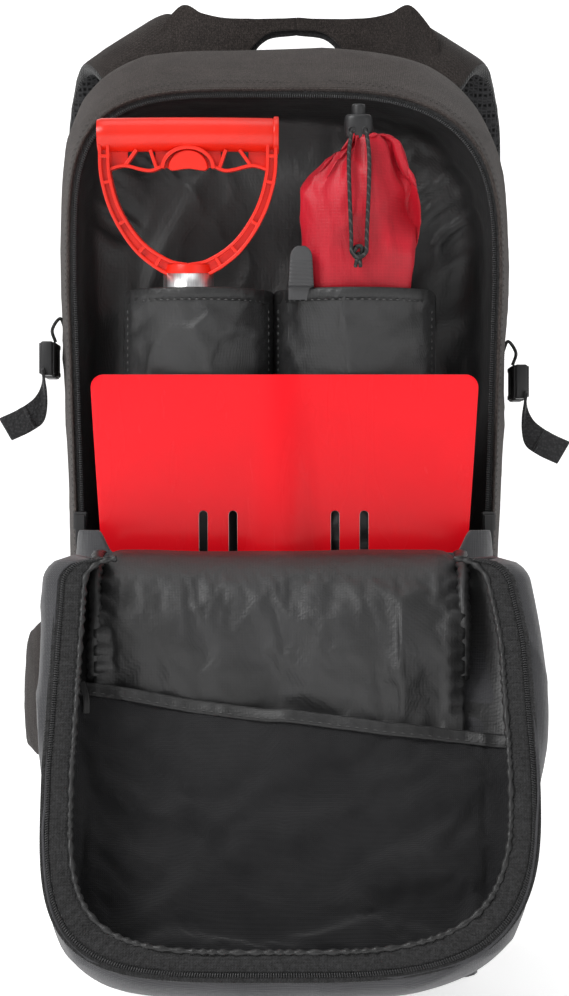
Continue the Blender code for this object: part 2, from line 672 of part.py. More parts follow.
def shoulder_straps():
    for side, label in ((-1, "left"), (1, "right")):
        route, across = strap_route(side)
        share = [min(1.0, 0.62 + 0.08 * index) if index < 6 else 1.0 for index in range(len(route))]
        last = len(route) - 1
        share = [min(value, 0.55 + 0.11 * (last - index)) for index, value in enumerate(share)]
        widths = [vector * STRAP_HALF * value for vector, value in zip(across, share)]
        ribbon(f"shoulder_strap_{label}", route, widths, STRAP_THICKNESS, CHARCOAL, 0.9)
        start = route[-1] + Vector((0, 0.004, -0.009))
        foot = Vector((side * 0.098, BACK_Y + FABRIC + GAP + WEBBING_THICKNESS, 0.062))
        path = spline([start, start + Vector((0, -0.016, -0.050)), foot + Vector((0, 0.016, 0.060)), foot], 3)
        half = Vector((0.0125, 0, 0))
        ribbon(f"lower_webbing_{label}", path, [half] * len(path), WEBBING_THICKNESS, BLACK, 0.9)
    foot = BACK_Y + FABRIC + GAP + 0.0012
    rise = [(-0.026, foot, 0.560), (-0.025, foot + 0.001, 0.594)]
    arch = spline(rise + [(-0.013, foot + 0.002, 0.611), (0.008, foot + 0.002, 0.615)], 3)
    arch += [Vector((0.016 - point.x, point.y, point.z)) for point in reversed(arch[:-1])]
    across = []
    for index, point in enumerate(arch):
        ahead = arch[min(index + 1, len(arch) - 1)] - arch[max(index - 1, 0)]
        across.append(Vector((-ahead.z, 0, ahead.x)).normalized() * 0.0045)
    ribbon("haul_loop", arch, across, 0.0024, BLACK, 0.85)


def trigger():
    """The release handle on the left strap and the cable housing that runs over the shoulder to the valve."""
    route, across = strap_route(-1)
    anchor = Vector((-0.120, 0.1680 + STRAP_THICKNESS / 2 + GAP, 0.500))
    low, high = anchor + Vector((-0.011, 0.004, -0.052)), anchor + Vector((0.011, 0.017, 0.0))
    box("trigger_handle", low, high, RED, 0.4, bevel=0.004, origin=anchor)
    over = [anchor + Vector((0, 0.0030, 0.006))]
    for index in (13, 11, 9, 7, 6):
        ahead = route[index - 1] - route[index + 1]
        out = across[index].cross(ahead).normalized()
        over.append(route[index] + out * (STRAP_THICKNESS / 2 + 0.0040))
    over += [
        Vector((-0.0950, 0.0850, 0.6180)),
        Vector((-0.0885, 0.0640, 0.5980)),
        Vector((-0.0865, 0.0540, 0.5650)),
        Vector((-0.0780, 0.0480, 0.5000)),
        Vector((-0.0400, 0.0440, 0.4300)),
        Vector((0.0000, 0.0440, 0.3850)),
        Vector((0.0105, 0.0440, 0.3790)),
    ]
    tube("trigger_cable", spline(over, 3), 0.0022, BLACK)


def sternum_strap():
    z = 0.410
    for side, label in ((-1, "left"), (1, "right")):
        over_y = 0.1680 + STRAP_THICKNESS / 2 + GAP + WEBBING_THICKNESS / 2 + 0.0004
        path = [(side * 0.150, over_y, z), (side * 0.082, over_y, z)]
        path += [(side * 0.070, 0.1700, z), (side * 0.022, 0.1700, z)]
        half = Vector((0, 0, 0.009))
        route = [Vector(point) for point in path]
        slide = (side * 0.12, over_y, z)
        ribbon(f"sternum_webbing_{label}", route, [half] * 4, WEBBING_THICKNESS, BLACK, 0.9, slide)
        near, far = sorted((side * 0.003, side * 0.0215))
        piece = "sternum_buckle_plug" if side > 0 else "sternum_buckle_socket"
        box(piece, (near, 0.1660, z - 0.012), (far, 0.1740, z + 0.012), BLACK, 0.45, bevel=0.0015)


def hip_belt():
    for side, label in ((-1, "left"), (1, "right")):
        hinge = Vector((side * 0.120, BACK_Y + FABRIC + GAP + 0.0065, 0.160))
        stops = [hinge, hinge + Vector((side * 0.030, 0.003, 0)), Vector((side * 0.165, 0.107, 0.163))]
        stops += [Vector((side * 0.175, 0.138, 0.160)), Vector((side * 0.173, 0.172, 0.155))]
        stops += [Vector((side * 0.158, 0.206, 0.150))]
        route = spline(stops, 3)
        last = len(route) - 1
        across = [Vector((0, 0, lerp(0.060, 0.026, (index / last) ** 1.5))) for index in range(len(route))]
        ribbon(f"hip_wing_{label}", route, across, 0.012, CHARCOAL, 0.9, hinge)
        tip = route[-1]
        heading = (route[-1] - route[-2]).normalized()
        path = [tip + heading * 0.009, tip + heading * 0.035]
        path += [tip + heading * 0.060 + Vector((-side * 0.012, 0.004, 0))]
        half = Vector((0, 0, 0.0185))
        ribbon(f"hip_webbing_{label}", path, [half] * 3, WEBBING_THICKNESS, BLACK, 0.9, hinge)
        piece = "hip_buckle_plug" if side > 0 else "hip_buckle_socket"
        end = path[-1] + Vector((-side * 0.026, 0.010, 0))
        half_size = Vector((0.024, 0.007, 0.024))
        box(piece, end - half_size, end + half_size, BLACK, 0.45, bevel=0.003, origin=hinge)


def side_straps():
    """Each side has a webbing strap from the back seam to a buckle, whose free end hangs forward."""
    places = ((-1, "left", 0.385), (1, "right", 0.370))
    for side, label, z in places:
        wall = half_at(z, BACK_HALF)
        x = side * (wall + 0.0062)
        socket_y, plug_y = 0.034, 0.010
        low, high = (x - 0.005, socket_y - 0.013, z - 0.012), (x + 0.005, socket_y + 0.016, z + 0.012)
        box(f"side_buckle_socket_{label}", low, high, BLACK, 0.45, bevel=0.002)
        low, high = (x - 0.004, plug_y - 0.010, z - 0.011), (x + 0.004, plug_y + 0.0103, z + 0.011)
        box(f"side_buckle_plug_{label}", low, high, BLACK, 0.45, bevel=0.002)
        start = Vector((x, plug_y - 0.0142, z - 0.001))
        hang = [start, start + Vector((side * 0.008, -0.012, -0.012))]
        hang += [start + Vector((side * 0.022, -0.014, -0.036))]
        route = spline(hang, 3)
        half = Vector((0, 0.0025, 0.0085))
        ribbon(f"side_tail_{label}", route, [half] * len(route), WEBBING_THICKNESS, BLACK, 0.9)


def frame_and_pads():
    """The stiff sheet that carries the load, and the foam pads against the wearer's back."""
    foam = (0.02, 0.02, 0.022)
    sheet_y = BACK_Y - GAP - 0.0010
    points = [(-0.105, 0.030), (0.105, 0.030), (0.112, 0.300), (0.098, 0.520), (-0.098, 0.520), (-0.112, 0.300)]
    plate("frame_sheet", points, sheet_y - 0.0008, 0.0016, (0.15, 0.15, 0.16), 0.5)
    face = BACK_Y + FABRIC + GAP
    box("back_pad_upper", (-0.044, face, 0.290), (0.044, face + 0.014, 0.530), foam, 0.95, bevel=0.005)
    box("back_pad_lumbar", (-0.078, face, 0.060), (0.078, face + 0.018, 0.230), foam, 0.95, bevel=0.006)


body_panels()
lower_body()
lining()
sleeve_pocket()
pull_tab()
body_zip()
flap()
shovel_blade()
grip()
shafts()
probe()
airbag_system()
shoulder_straps()
trigger()
sternum_strap()
hip_belt()
side_straps()
frame_and_pads()
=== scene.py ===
"""Looks for the avalanche airbag backpack: shapes, fabrics and finishes over the shared frame."""

from math import copysign, cos, pi, radians, sin, sqrt

import bmesh
import bpy
from mathutils import Matrix, Vector, noise


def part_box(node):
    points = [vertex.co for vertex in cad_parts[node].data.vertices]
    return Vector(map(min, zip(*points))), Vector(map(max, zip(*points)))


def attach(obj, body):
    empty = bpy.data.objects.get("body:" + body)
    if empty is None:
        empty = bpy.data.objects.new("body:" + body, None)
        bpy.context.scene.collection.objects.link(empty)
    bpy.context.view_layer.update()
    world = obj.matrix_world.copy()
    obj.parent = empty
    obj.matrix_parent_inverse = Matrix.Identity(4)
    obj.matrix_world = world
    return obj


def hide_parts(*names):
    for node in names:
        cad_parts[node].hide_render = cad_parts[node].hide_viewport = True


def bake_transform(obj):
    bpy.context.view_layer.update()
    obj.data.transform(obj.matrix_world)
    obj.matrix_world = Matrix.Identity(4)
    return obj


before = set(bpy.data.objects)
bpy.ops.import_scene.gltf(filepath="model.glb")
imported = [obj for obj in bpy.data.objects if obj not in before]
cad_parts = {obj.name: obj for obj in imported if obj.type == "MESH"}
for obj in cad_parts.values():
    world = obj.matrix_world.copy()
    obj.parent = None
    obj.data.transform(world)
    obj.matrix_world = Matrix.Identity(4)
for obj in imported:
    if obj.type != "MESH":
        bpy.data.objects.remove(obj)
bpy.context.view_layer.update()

# ---- dimensions shared with the frame, in metres ----
FABRIC = 0.0024
RIM_HALF, RIM_TOP, RIM_Y = 0.137, 0.553, -0.035
BACK_HALF, BACK_TOP, BACK_Y = 0.149, 0.596, 0.082
FRONT_Y = -0.100
SPRING_Z = 0.430
LEFT_SQUARENESS, RIGHT_SQUARENESS = 4.3, 3.3
NARROWING = 0.11
LINING_Y = 0.010
HINGE_Z = 0.270
FLAP_LENGTH = 0.281
FLAP_OPEN = radians(158.5)
FLAP_RIM_Y = RIM_Y - 0.0055
FLAP_DEPTH = FLAP_RIM_Y - FRONT_Y
GEAR_LEAN = radians(5)
GEAR_FOOT = Vector((0, -0.014, 0.020))
HANDLE_X, PROBE_X = -0.060, 0.046
BAR_ALONG, BAR_RADIUS, BAR_HALF, NECK_DROP = 0.5024, 0.0106, 0.0565, 0.092
LOCK_LOW, LOCK_HIGH = 0.5005, 0.5155
HEM_Z = 0.425
SLEEVE_LEFT, SLEEVE_MIDDLE, SLEEVE_RIGHT = -0.102, -0.007, 0.096
BLADE_HALF, BLADE_TOP, BLADE_BOTTOM, BLADE_Y = 0.1205, 0.3545, 0.070, -0.0225
SLOT_PLACES = (-0.0505, -0.0320, 0.0315, 0.0495)
SLOT_LOW, SLOT_HIGH = 0.238, 0.270
PHOTO_SIZE = (569, 996)


# ---- small maths ----
def lerp(a, b, share):
    return a + (b - a) * share


def clamp(value, low=0.0, high=1.0):
    return max(low, min(high, value))


def ease(value):
    value = clamp(value)
    return value * value * (3 - 2 * value)


def spread(start, end, count):
    return [lerp(start, end, index / (count - 1)) for index in range(count)]


def spline(points, per_segment=8):
    """A smooth Catmull-Rom route through the points."""
    knots = [Vector(point) for point in points]
    knots = [2 * knots[0] - knots[1], *knots, 2 * knots[-1] - knots[-2]]
    route = []
    for a, b, c, d in zip(knots, knots[1:], knots[2:], knots[3:]):
        for step in range(per_segment):
            t = step / per_segment
            curve = 2 * b + (c - a) * t + (2 * a - 5 * b + 4 * c - d) * t**2
            route.append(0.5 * (curve + (3 * b - a - 3 * c + d) * t**3))
    route.append(knots[-2])
    return route


def even_steps(route, step):
    """The same route with points a fixed step apart."""
    walked = [route[0].copy()]
    left = step
    for a, b in zip(route, route[1:]):
        length = (b - a).length
        while length > left:
            a = a.lerp(b, left / length)
            walked.append(a.copy())
            length = (b - a).length
            left = step
        left -= length
    return walked


def crease(point, scale, stretch=(1, 1, 1), seed=0.0, sharp=2.0):
    """A ridge pattern from 0 to 1, for folds in cloth."""
    at = Vector((point[0] * stretch[0], point[1] * stretch[1], point[2] * stretch[2])) * scale
    value = 1 - min(1.0, abs(noise.noise(at + Vector((seed, seed * 1.7, -seed)))) * 2.4)
    return value**sharp


def roll(point, scale, stretch=(1, 1, 1), seed=0.0):
    """A soft rise and fall from -1 to 1."""
    at = Vector((point[0] * stretch[0], point[1] * stretch[1], point[2] * stretch[2])) * scale
    return noise.noise(at + Vector((seed, -seed, seed * 0.6)))


# ---- the body's outline, as in the frame ----
def half_at(z, half):
    return half * (1 - NARROWING * max(0.0, SPRING_Z - z) / SPRING_Z)


def arch_point(angle, half, top):
    side = cos(angle)
    power = 2 / (RIGHT_SQUARENESS if side >= 0 else LEFT_SQUARENESS)
    x = half * copysign(abs(side) ** power, side)
    return x, SPRING_Z + (top - SPRING_Z) * max(0.0, sin(angle)) ** power


def outline(half, top, low, side_steps=40, arch_steps=121):
    """(x, z) points up the left side, over the arch and down the right side."""
    sides = [(half_at(z, half), z) for z in spread(low, SPRING_Z, side_steps)][:-1]
    left = [(-x, z) for x, z in sides]
    arch = [arch_point(angle, half, top) for angle in spread(pi, 0, arch_steps)]
    return left + arch + sides[::-1]


def arch_half(z, half, top, squareness):
    share = clamp((z - SPRING_Z) / (top - SPRING_Z))
    return half_at(z, half) * (1 - share**squareness) ** (1 / squareness)


def wall_shape(depth):
    """Half width, top and y of the body wall, from the zip rim (0) to the back edge (1)."""
    swell = sin(depth * pi / 2)
    return lerp(RIM_HALF, BACK_HALF, swell), lerp(RIM_TOP, BACK_TOP, swell), lerp(
        RIM_Y, BACK_Y - 0.003, depth
    )


FLAP_TURN = (
    Matrix.Translation((0, FRONT_Y, HINGE_Z))
    @ Matrix.Rotation(FLAP_OPEN, 4, "X")
    @ Matrix.Translation((0, -FRONT_Y, -HINGE_Z))
)


def flap_point(x, rise, along):
    """A point of the hanging flap: across, up from its floor towards its rim, and along from the hinge."""
    return FLAP_TURN @ Vector((x, FRONT_Y + rise, HINGE_Z + along))


FLAP_FACE = FLAP_TURN.to_3x3() @ Vector((0, 1, 0))
GEAR_TURN = Matrix.Translation(GEAR_FOOT) @ Matrix.Rotation(GEAR_LEAN, 4, "X")


def gear_point(point):
    """A point given in the leaning gear's own axes."""
    return GEAR_TURN @ Vector(point)


# ---- mesh building ----
def add_object(name, data):
    obj = bpy.data.objects.new(name, data)
    bpy.context.scene.collection.objects.link(obj)
    return obj


def mesh_object(name, points, faces, smooth=True):
    mesh = bpy.data.meshes.new(name)
    mesh.from_pydata([tuple(point) for point in points], [], faces)
    mesh.update()
    if smooth:
        mesh.shade_smooth()
    return add_object(name, mesh)


def surface(name, rows, closed=False, smooth=True):
    """A grid of points as one sheet; `closed` joins each row's ends."""
    across = len(rows[0])
    points = [point for row in rows for point in row]
    steps = across if closed else across - 1
    faces = [
        (
            r * across + c,
            r * across + (c + 1) % across,
            (r + 1) * across + (c + 1) % across,
            (r + 1) * across + c
        )
        for r in range(len(rows) - 1)
        for c in range(steps)
    ]
    return mesh_object(name, points, faces, smooth)


def ruffle(obj, move):
    """Moves each point along its normal by move(point)."""
    mesh = obj.data
    shifts = [vertex.normal * move(vertex.co) for vertex in mesh.vertices]
    for vertex, shift in zip(mesh.vertices, shifts):
        vertex.co += shift
    mesh.update()
    return obj


def face_towards(obj, direction):
    """Turns the sheet's normals to the side that is seen."""
    total = sum((polygon.normal * polygon.area for polygon in obj.data.polygons), Vector())
    if total.dot(Vector(direction)) < 0:
        obj.data.flip_normals()
    return obj


def thicken(obj, thickness, offset=-1.0, rim=0):
    solid = obj.modifiers.new("thickness", "SOLIDIFY")
    solid.thickness = thickness
    solid.offset = offset
    solid.material_offset_rim = rim
    return obj


def soften(obj, width, segments=2, angle=35):
    bevel = obj.modifiers.new("soft edges", "BEVEL")
    bevel.width = width
    bevel.segments = segments
    bevel.limit_method = "ANGLE"
    bevel.angle_limit = radians(angle)
    return obj


def smooth_more(obj, levels=1):
    sub = obj.modifiers.new("smooth", "SUBSURF")
    sub.levels = levels
    sub.render_levels = levels
    return obj


def applied(obj):
    """Applies the modifiers, so that later steps see the real mesh."""
    graph = bpy.context.evaluated_depsgraph_get()
    mesh = bpy.data.meshes.new_from_object(obj.evaluated_get(graph))
    obj.modifiers.clear()
    obj.data = mesh
    return obj


def joined(name, objects):
    """Several meshes as one object, in world space, with their materials kept."""
    made = bmesh.new()
    slots = []
    for obj in objects:
        mesh = applied(obj).data
        mesh.transform(obj.matrix_world)
        index = {}
        for number, material in enumerate(mesh.materials):
            if material not in slots:
                slots.append(material)
            index[number] = slots.index(material)
        for polygon in mesh.polygons:
            polygon.material_index = index.get(polygon.material_index, 0)
        made.from_mesh(mesh)
    mesh = bpy.data.meshes.new(name)
    made.to_mesh(mesh)
    made.free()
    for material in slots:
        mesh.materials.append(material)
    for obj in objects:
        bpy.data.objects.remove(obj, do_unlink=True)
    return add_object(name, mesh)


def block(name, low, high, bevel=0.001, segments=2):
    low, high = Vector(low), Vector(high)
    made = bmesh.new()
    size = Matrix.Diagonal((*(high - low), 1))
    bmesh.ops.create_cube(made, size=1, matrix=Matrix.Translation((low + high) / 2) @ size)
    bmesh.ops.bevel(
        made,
        geom=made.edges[:],
        offset=bevel,
        segments=segments,
        affect="EDGES",
        profile=0.5,
        clamp_overlap=True
    )
    mesh = bpy.data.meshes.new(name)
    made.to_mesh(mesh)
    made.free()
    mesh.shade_smooth()
    return add_object(name, mesh)


def cap_ends(obj, count, outward=True):
    """Closes both ends of a tube-like surface made of rings of `count` points."""
    made = bmesh.new()
    made.from_mesh(obj.data)
    made.verts.ensure_lookup_table()
    ring = list(made.verts)
    made.faces.new(ring[:count][::-1])
    made.faces.new(ring[-count:])
    if outward:
        bmesh.ops.recalc_face_normals(made, faces=made.faces)
    made.to_mesh(obj.data)
    made.free()
    return obj


def ahead_at(route, index):
    """The way the route goes at a point."""
    return (route[min(index + 1, len(route) - 1)] - route[max(index - 1, 0)]).normalized()


def circle(steps):
    """Angles once round, without the last one."""
    return [2 * pi * step / steps for step in range(steps)]


def tube(name, route, radius, sides=10, caps=True):
    """A round tube along a route, as a mesh; radius is a number or one number per point."""
    radii = radius if isinstance(radius, list) else [radius] * len(route)
    rows = []
    side = Vector((1, 0, 0))
    for index, point in enumerate(route):
        ahead = ahead_at(route, index)
        if abs(side.dot(ahead)) < 0.99:
            side = (side - ahead * side.dot(ahead)).normalized()
        else:
            side = ahead.orthogonal().normalized()
        up = ahead.cross(side)
        rows.append([point + (side * cos(a) + up * sin(a)) * radii[index] for a in circle(sides)])
    obj = surface(name, rows, closed=True)
    return cap_ends(obj, sides, outward=False) if caps else obj


def strap(name, route, across, thickness):
    """A flat strap with rounded edges: `across` is the vector from the middle to an edge at each point."""
    rows = []
    for point, side in zip(route, across):
        rows.append([point + side * share for share in spread(-1, 1, 9)])
    obj = surface(name, rows)
    thicken(obj, thickness, 0.0)
    soften(obj, thickness * 0.4, 2)
    return obj


def material_on(obj, *materials):
    obj.data.materials.clear()
    for material in materials:
        obj.data.materials.append(material)
    return obj


def put(obj, body, replaces=()):
    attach(obj, body)
    if replaces:
        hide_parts(*replaces)
    return obj


def dressed(obj, look, body, replaces=()):
    """Gives a piece its material and its body, and hides the nodes it replaces."""
    return put(material_on(obj, MATERIALS[look]), body, replaces)


# ---- materials ----
class Paint:
    """A material under construction: makes nodes and links them to the Principled shader."""

    def __init__(self, name, colour, roughness, metallic=0.0):
        self.material = bpy.data.materials.new(name)
        self.material.use_nodes = True
        self.tree = self.material.node_tree
        self.shader = self.tree.nodes["Principled BSDF"]
        self.set("Base Color", (*colour, 1))
        self.set("Roughness", roughness)
        self.set("Metallic", metallic)
        self.where = self.node("ShaderNodeTexCoord").outputs["Object"]
        self.normal = None

    def set(self, socket, value):
        self.shader.inputs[socket].default_value = value
        return self

    def node(self, kind, **settings):
        made = self.tree.nodes.new(kind)
        for key, value in settings.items():
            setattr(made, key, value)
        return made

    def wire(self, out, into):
        self.tree.links.new(out, into)

    def stretched(self, scale):
        mapping = self.node("ShaderNodeMapping")
        mapping.inputs["Scale"].default_value = scale
        self.wire(self.where, mapping.inputs["Vector"])
        return mapping.outputs["Vector"]

    def noise(self, scale, detail=4.0, distortion=0.0, stretch=None):
        made = self.node("ShaderNodeTexNoise")
        made.inputs["Scale"].default_value = scale
        made.inputs["Detail"].default_value = detail
        made.inputs["Distortion"].default_value = distortion
        self.wire(self.stretched(stretch) if stretch else self.where, made.inputs["Vector"])
        return made.outputs["Fac"]

    def waves(self, period, axis, distortion=0.0):
        made = self.node("ShaderNodeTexWave", wave_type="BANDS", bands_direction=axis)
        made.inputs["Scale"].default_value = 2 * pi / (20 * period)
        made.inputs["Distortion"].default_value = distortion
        self.wire(self.where, made.inputs["Vector"])
        return made.outputs["Fac"]

    def maths(self, operation, a, b=0.5):
        made = self.node("ShaderNodeMath", operation=operation)
        for value, socket in ((a, made.inputs[0]), (b, made.inputs[1])):
            if isinstance(value, (int, float)):
                socket.default_value = value
            else:
                self.wire(value, socket)
        return made.outputs["Value"]

    def ramp(self, fac, stops):
        made = self.node("ShaderNodeValToRGB")
        ramp = made.color_ramp
        while len(ramp.elements) < len(stops):
            ramp.elements.new(0.5)
        for element, (place, colour) in zip(ramp.elements, stops):
            element.position = place
            element.color = (*colour, 1) if len(colour) == 3 else colour
        self.wire(fac, made.inputs["Fac"])
        return made.outputs["Color"]

    def colour(self, out):
        self.wire(out, self.shader.inputs["Base Color"])
        return self

    def rough(self, fac, low, high):
        made = self.node("ShaderNodeMapRange")
        made.inputs["To Min"].default_value = low
        made.inputs["To Max"].default_value = high
        self.wire(fac, made.inputs["Value"])
        self.wire(made.outputs["Result"], self.shader.inputs["Roughness"])
        return self

    def bump(self, height, distance, strength=1.0):
        made = self.node("ShaderNodeBump")
        made.inputs["Distance"].default_value = distance
        made.inputs["Strength"].default_value = strength
        self.wire(height, made.inputs["Height"])
        if self.normal:
            self.wire(self.normal, made.inputs["Normal"])
        self.normal = made.outputs["Normal"]
        self.wire(self.normal, self.shader.inputs["Normal"])
        return self


def weave_height(paint, period):
    """Over-and-under threads in all three directions, so every face shows two of them."""
    x = paint.waves(period, "X")
    y = paint.waves(period, "Y")
    z = paint.waves(period, "Z")
    return paint.maths("ADD", paint.maths("MULTIPLY", x, z), paint.maths("MULTIPLY", y, 0.6))


def melange_fabric(name="melange fabric", tone=1.0):
    """Two-tone yarn, brown and grey, in a plain weave."""
    paint = Paint(name, (0.03, 0.028, 0.027), 0.92)
    fleck = paint.noise(1500, 3, 0.4, (1, 1, 0.55))
    patch = paint.noise(60, 3)
    mixed = paint.maths("ADD", paint.maths("MULTIPLY", fleck, 0.85), paint.maths("MULTIPLY", patch, 0.15))
    dark, mid, light = (0.020, 0.0165, 0.0155), (0.043, 0.035, 0.032), (0.088, 0.073, 0.067)
    dark, mid, light = [tuple(channel * tone for channel in shade) for shade in (dark, mid, light)]
    paint.colour(paint.ramp(mixed, [(0.36, dark), (0.52, mid), (0.68, light)]))
    paint.set("Sheen Weight", 0.08).set("Sheen Roughness", 0.5).set("Specular IOR Level", 0.2)
    paint.bump(weave_height(paint, 0.0012), 0.0004, 0.6)
    paint.bump(paint.noise(35, 4, 0.5), 0.002, 0.25)
    return paint.material


def shell_fabric():
    paint = Paint("shell fabric", (0.03, 0.03, 0.032), 0.6)
    tone = paint.noise(25, 4)
    paint.colour(paint.ramp(tone, [(0.3, (0.024, 0.024, 0.027)), (0.7, (0.043, 0.043, 0.047))]))
    paint.rough(paint.noise(300, 2), 0.5, 0.68)
    paint.set("Sheen Weight", 0.2).set("Specular IOR Level", 0.35)
    paint.bump(weave_height(paint, 0.0010), 0.0003, 0.5)
    paint.bump(paint.noise(28, 5, 0.8), 0.003, 0.35)
    return paint.material


def lining_nylon(name="lining nylon", base=0.017):
    """Thin coated nylon: a dark, satin face with soft creases."""
    paint = Paint(name, (base, base, base * 1.04), 0.42)
    tone = paint.noise(18, 4, 0.6)
    paint.colour(paint.ramp(tone, [(0.3, (base * 0.8,) * 3), (0.72, (base * 1.35, base * 1.35, base * 1.4))]))
    paint.rough(paint.noise(40, 4), 0.36, 0.52)
    paint.set("Specular IOR Level", 0.5).set("Sheen Weight", 0.03)
    paint.bump(weave_height(paint, 0.0009), 0.00025, 0.35)
    paint.bump(paint.noise(16, 5, 1.2, (1, 1, 0.6)), 0.006, 0.28)
    paint.bump(paint.noise(70, 4, 1.0), 0.0015, 0.30)
    return paint.material


def pocket_fabric():
    paint = Paint("pocket fabric", (0.012, 0.012, 0.013), 0.85)
    tone = paint.noise(40, 5)
    paint.colour(paint.ramp(tone, [(0.3, (0.006, 0.006, 0.007)), (0.75, (0.015, 0.015, 0.016))]))
    paint.set("Sheen Weight", 0.2).set("Specular IOR Level", 0.25)
    paint.bump(weave_height(paint, 0.0011), 0.0003, 0.6)
    paint.bump(paint.noise(22, 5, 0.8), 0.004, 0.35)
    return paint.material


def webbing():
    """Woven tape with a pebbled face."""
    paint = Paint("webbing", (0.010, 0.010, 0.011), 0.75)
    cells = paint.node("ShaderNodeTexVoronoi")
    cells.inputs["Scale"].default_value = 620
    paint.wire(paint.where, cells.inputs["Vector"])
    paint.colour(
        paint.ramp(cells.outputs["Distance"], [(0.0, (0.030, 0.030, 0.032)), (0.6, (0.006, 0.006, 0.007))])
    )
    paint.set("Specular IOR Level", 0.4).set("Sheen Weight", 0.15)
    paint.bump(cells.outputs["Distance"], -0.0006, 0.8)
    paint.bump(paint.waves(0.0024, "Z"), 0.0003, 0.4)
    return paint.material


def binding_tape():
    paint = Paint("binding tape", (0.010, 0.010, 0.010), 0.8)
    paint.colour(
        paint.ramp(paint.noise(500, 3), [(0.3, (0.006, 0.006, 0.006)), (0.7, (0.022, 0.022, 0.023))])
    )
    paint.set("Sheen Weight", 0.2).set("Specular IOR Level", 0.3)
    paint.bump(weave_height(paint, 0.0016), 0.0005, 0.8)
    return paint.material


def spacer_mesh():
    """Air mesh: rows of small open cells."""
    paint = Paint("spacer mesh", (0.015, 0.015, 0.016), 0.9)
    cells = paint.node("ShaderNodeTexVoronoi", feature="DISTANCE_TO_EDGE")
    cells.inputs["Scale"].default_value = 300
    cells.inputs["Randomness"].default_value = 0.25
    paint.wire(paint.where, cells.inputs["Vector"])
    hole = cells.outputs["Distance"]
    paint.colour(paint.ramp(hole, [(0.05, (0.045, 0.045, 0.047)), (0.35, (0.004, 0.004, 0.004))]))
    paint.set("Specular IOR Level", 0.2)
    paint.bump(hole, -0.0015, 0.9)
    return paint.material


def moulded_plastic(name, colour, roughness, grain=0.00015, specular=0.5):
    paint = Paint(name, colour, roughness)
    shade = tuple(channel * 0.82 for channel in colour)
    paint.colour(paint.ramp(paint.noise(22, 3), [(0.35, shade), (0.6, colour)]))
    paint.rough(paint.noise(140, 4), roughness * 0.85, roughness * 1.2)
    paint.set("Specular IOR Level", specular)
    paint.bump(paint.noise(900, 3), grain, 0.5)
    return paint.material


def blade_paint():
    """Gloss powder coat with a trace of orange peel and handling marks."""
    paint = Paint("blade paint", (0.78, 0.002, 0.010), 0.24)
    tone = paint.noise(6, 3)
    paint.colour(paint.ramp(tone, [(0.3, (0.74, 0.003, 0.010)), (0.7, (0.88, 0.008, 0.016))]))
    paint.rough(paint.noise(60, 5, 1.0, (1, 1, 0.2)), 0.18, 0.34)
    paint.set("Specular IOR Level", 0.18).set("Coat Weight", 0.10).set("Coat Roughness", 0.10)
    paint.bump(paint.noise(700, 2), 0.00008, 0.4)
    return paint.material


def bare_metal(name="bare metal", colour=(0.70, 0.70, 0.72), roughness=0.28, axis=(1, 1, 0.02)):
    paint = Paint(name, colour, roughness, 1.0)
    streak = paint.noise(900, 3, 0.0, axis)
    dull = tuple(channel * 0.78 for channel in colour)
    paint.colour(paint.ramp(streak, [(0.35, dull), (0.65, colour)]))
    paint.rough(streak, roughness * 0.8, roughness * 1.4)
    paint.bump(streak, 0.00008, 0.4)
    return paint.material


def ripstop():
    """Red ripstop: a fine grid of heavier threads over a thin shiny cloth."""
    paint = Paint("red ripstop", (0.45, 0.010, 0.022), 0.5)
    grid = paint.maths(
        "MAXIMUM", paint.maths("MULTIPLY", paint.waves(0.0026, "X"), 0.97), paint.waves(0.0020, "Z")
    )
    line = paint.maths("POWER", grid, 14.0)
    tone = paint.maths("ADD", paint.maths("MULTIPLY", line, 0.12), paint.noise(30, 4))
    paint.colour(
        paint.ramp(
            tone, [(0.3, (0.30, 0.002, 0.010)), (0.55, (0.44, 0.004, 0.016)), (1.0, (0.56, 0.010, 0.028))]
        )
    )
    paint.rough(paint.noise(80, 3), 0.38, 0.55)
    paint.set("Sheen Weight", 0.06).set("Specular IOR Level", 0.35)
    paint.bump(line, 0.0002, 0.35)
    paint.bump(paint.noise(45, 5, 1.0, (1.6, 1, 0.5)), 0.003, 0.4)
    return paint.material


def cord_sheath():
    """Braided black cord with a pale fleck."""
    paint = Paint("cord sheath", (0.012, 0.012, 0.012), 0.7)
    slant = paint.stretched((1, 1, 1))
    wave = paint.node("ShaderNodeTexWave", wave_type="BANDS", bands_direction="DIAGONAL")
    wave.inputs["Scale"].default_value = 120
    wave.inputs["Distortion"].default_value = 2.0
    paint.wire(slant, wave.inputs["Vector"])
    paint.colour(
        paint.ramp(wave.outputs["Fac"], [(0.80, (0.008, 0.008, 0.008)), (0.95, (0.045, 0.045, 0.043))])
    )
    paint.bump(wave.outputs["Fac"], 0.0004, 0.7)
    return paint.material


def zip_coil():
    paint = Paint("zip coil", (0.016, 0.016, 0.017), 0.38)
    paint.colour(
        paint.ramp(paint.noise(400, 2), [(0.3, (0.006, 0.006, 0.007)), (0.7, (0.020, 0.020, 0.021))])
    )
    paint.set("Specular IOR Level", 0.6)
    paint.bump(paint.noise(2000, 2), 0.0001, 0.4)
    return paint.material


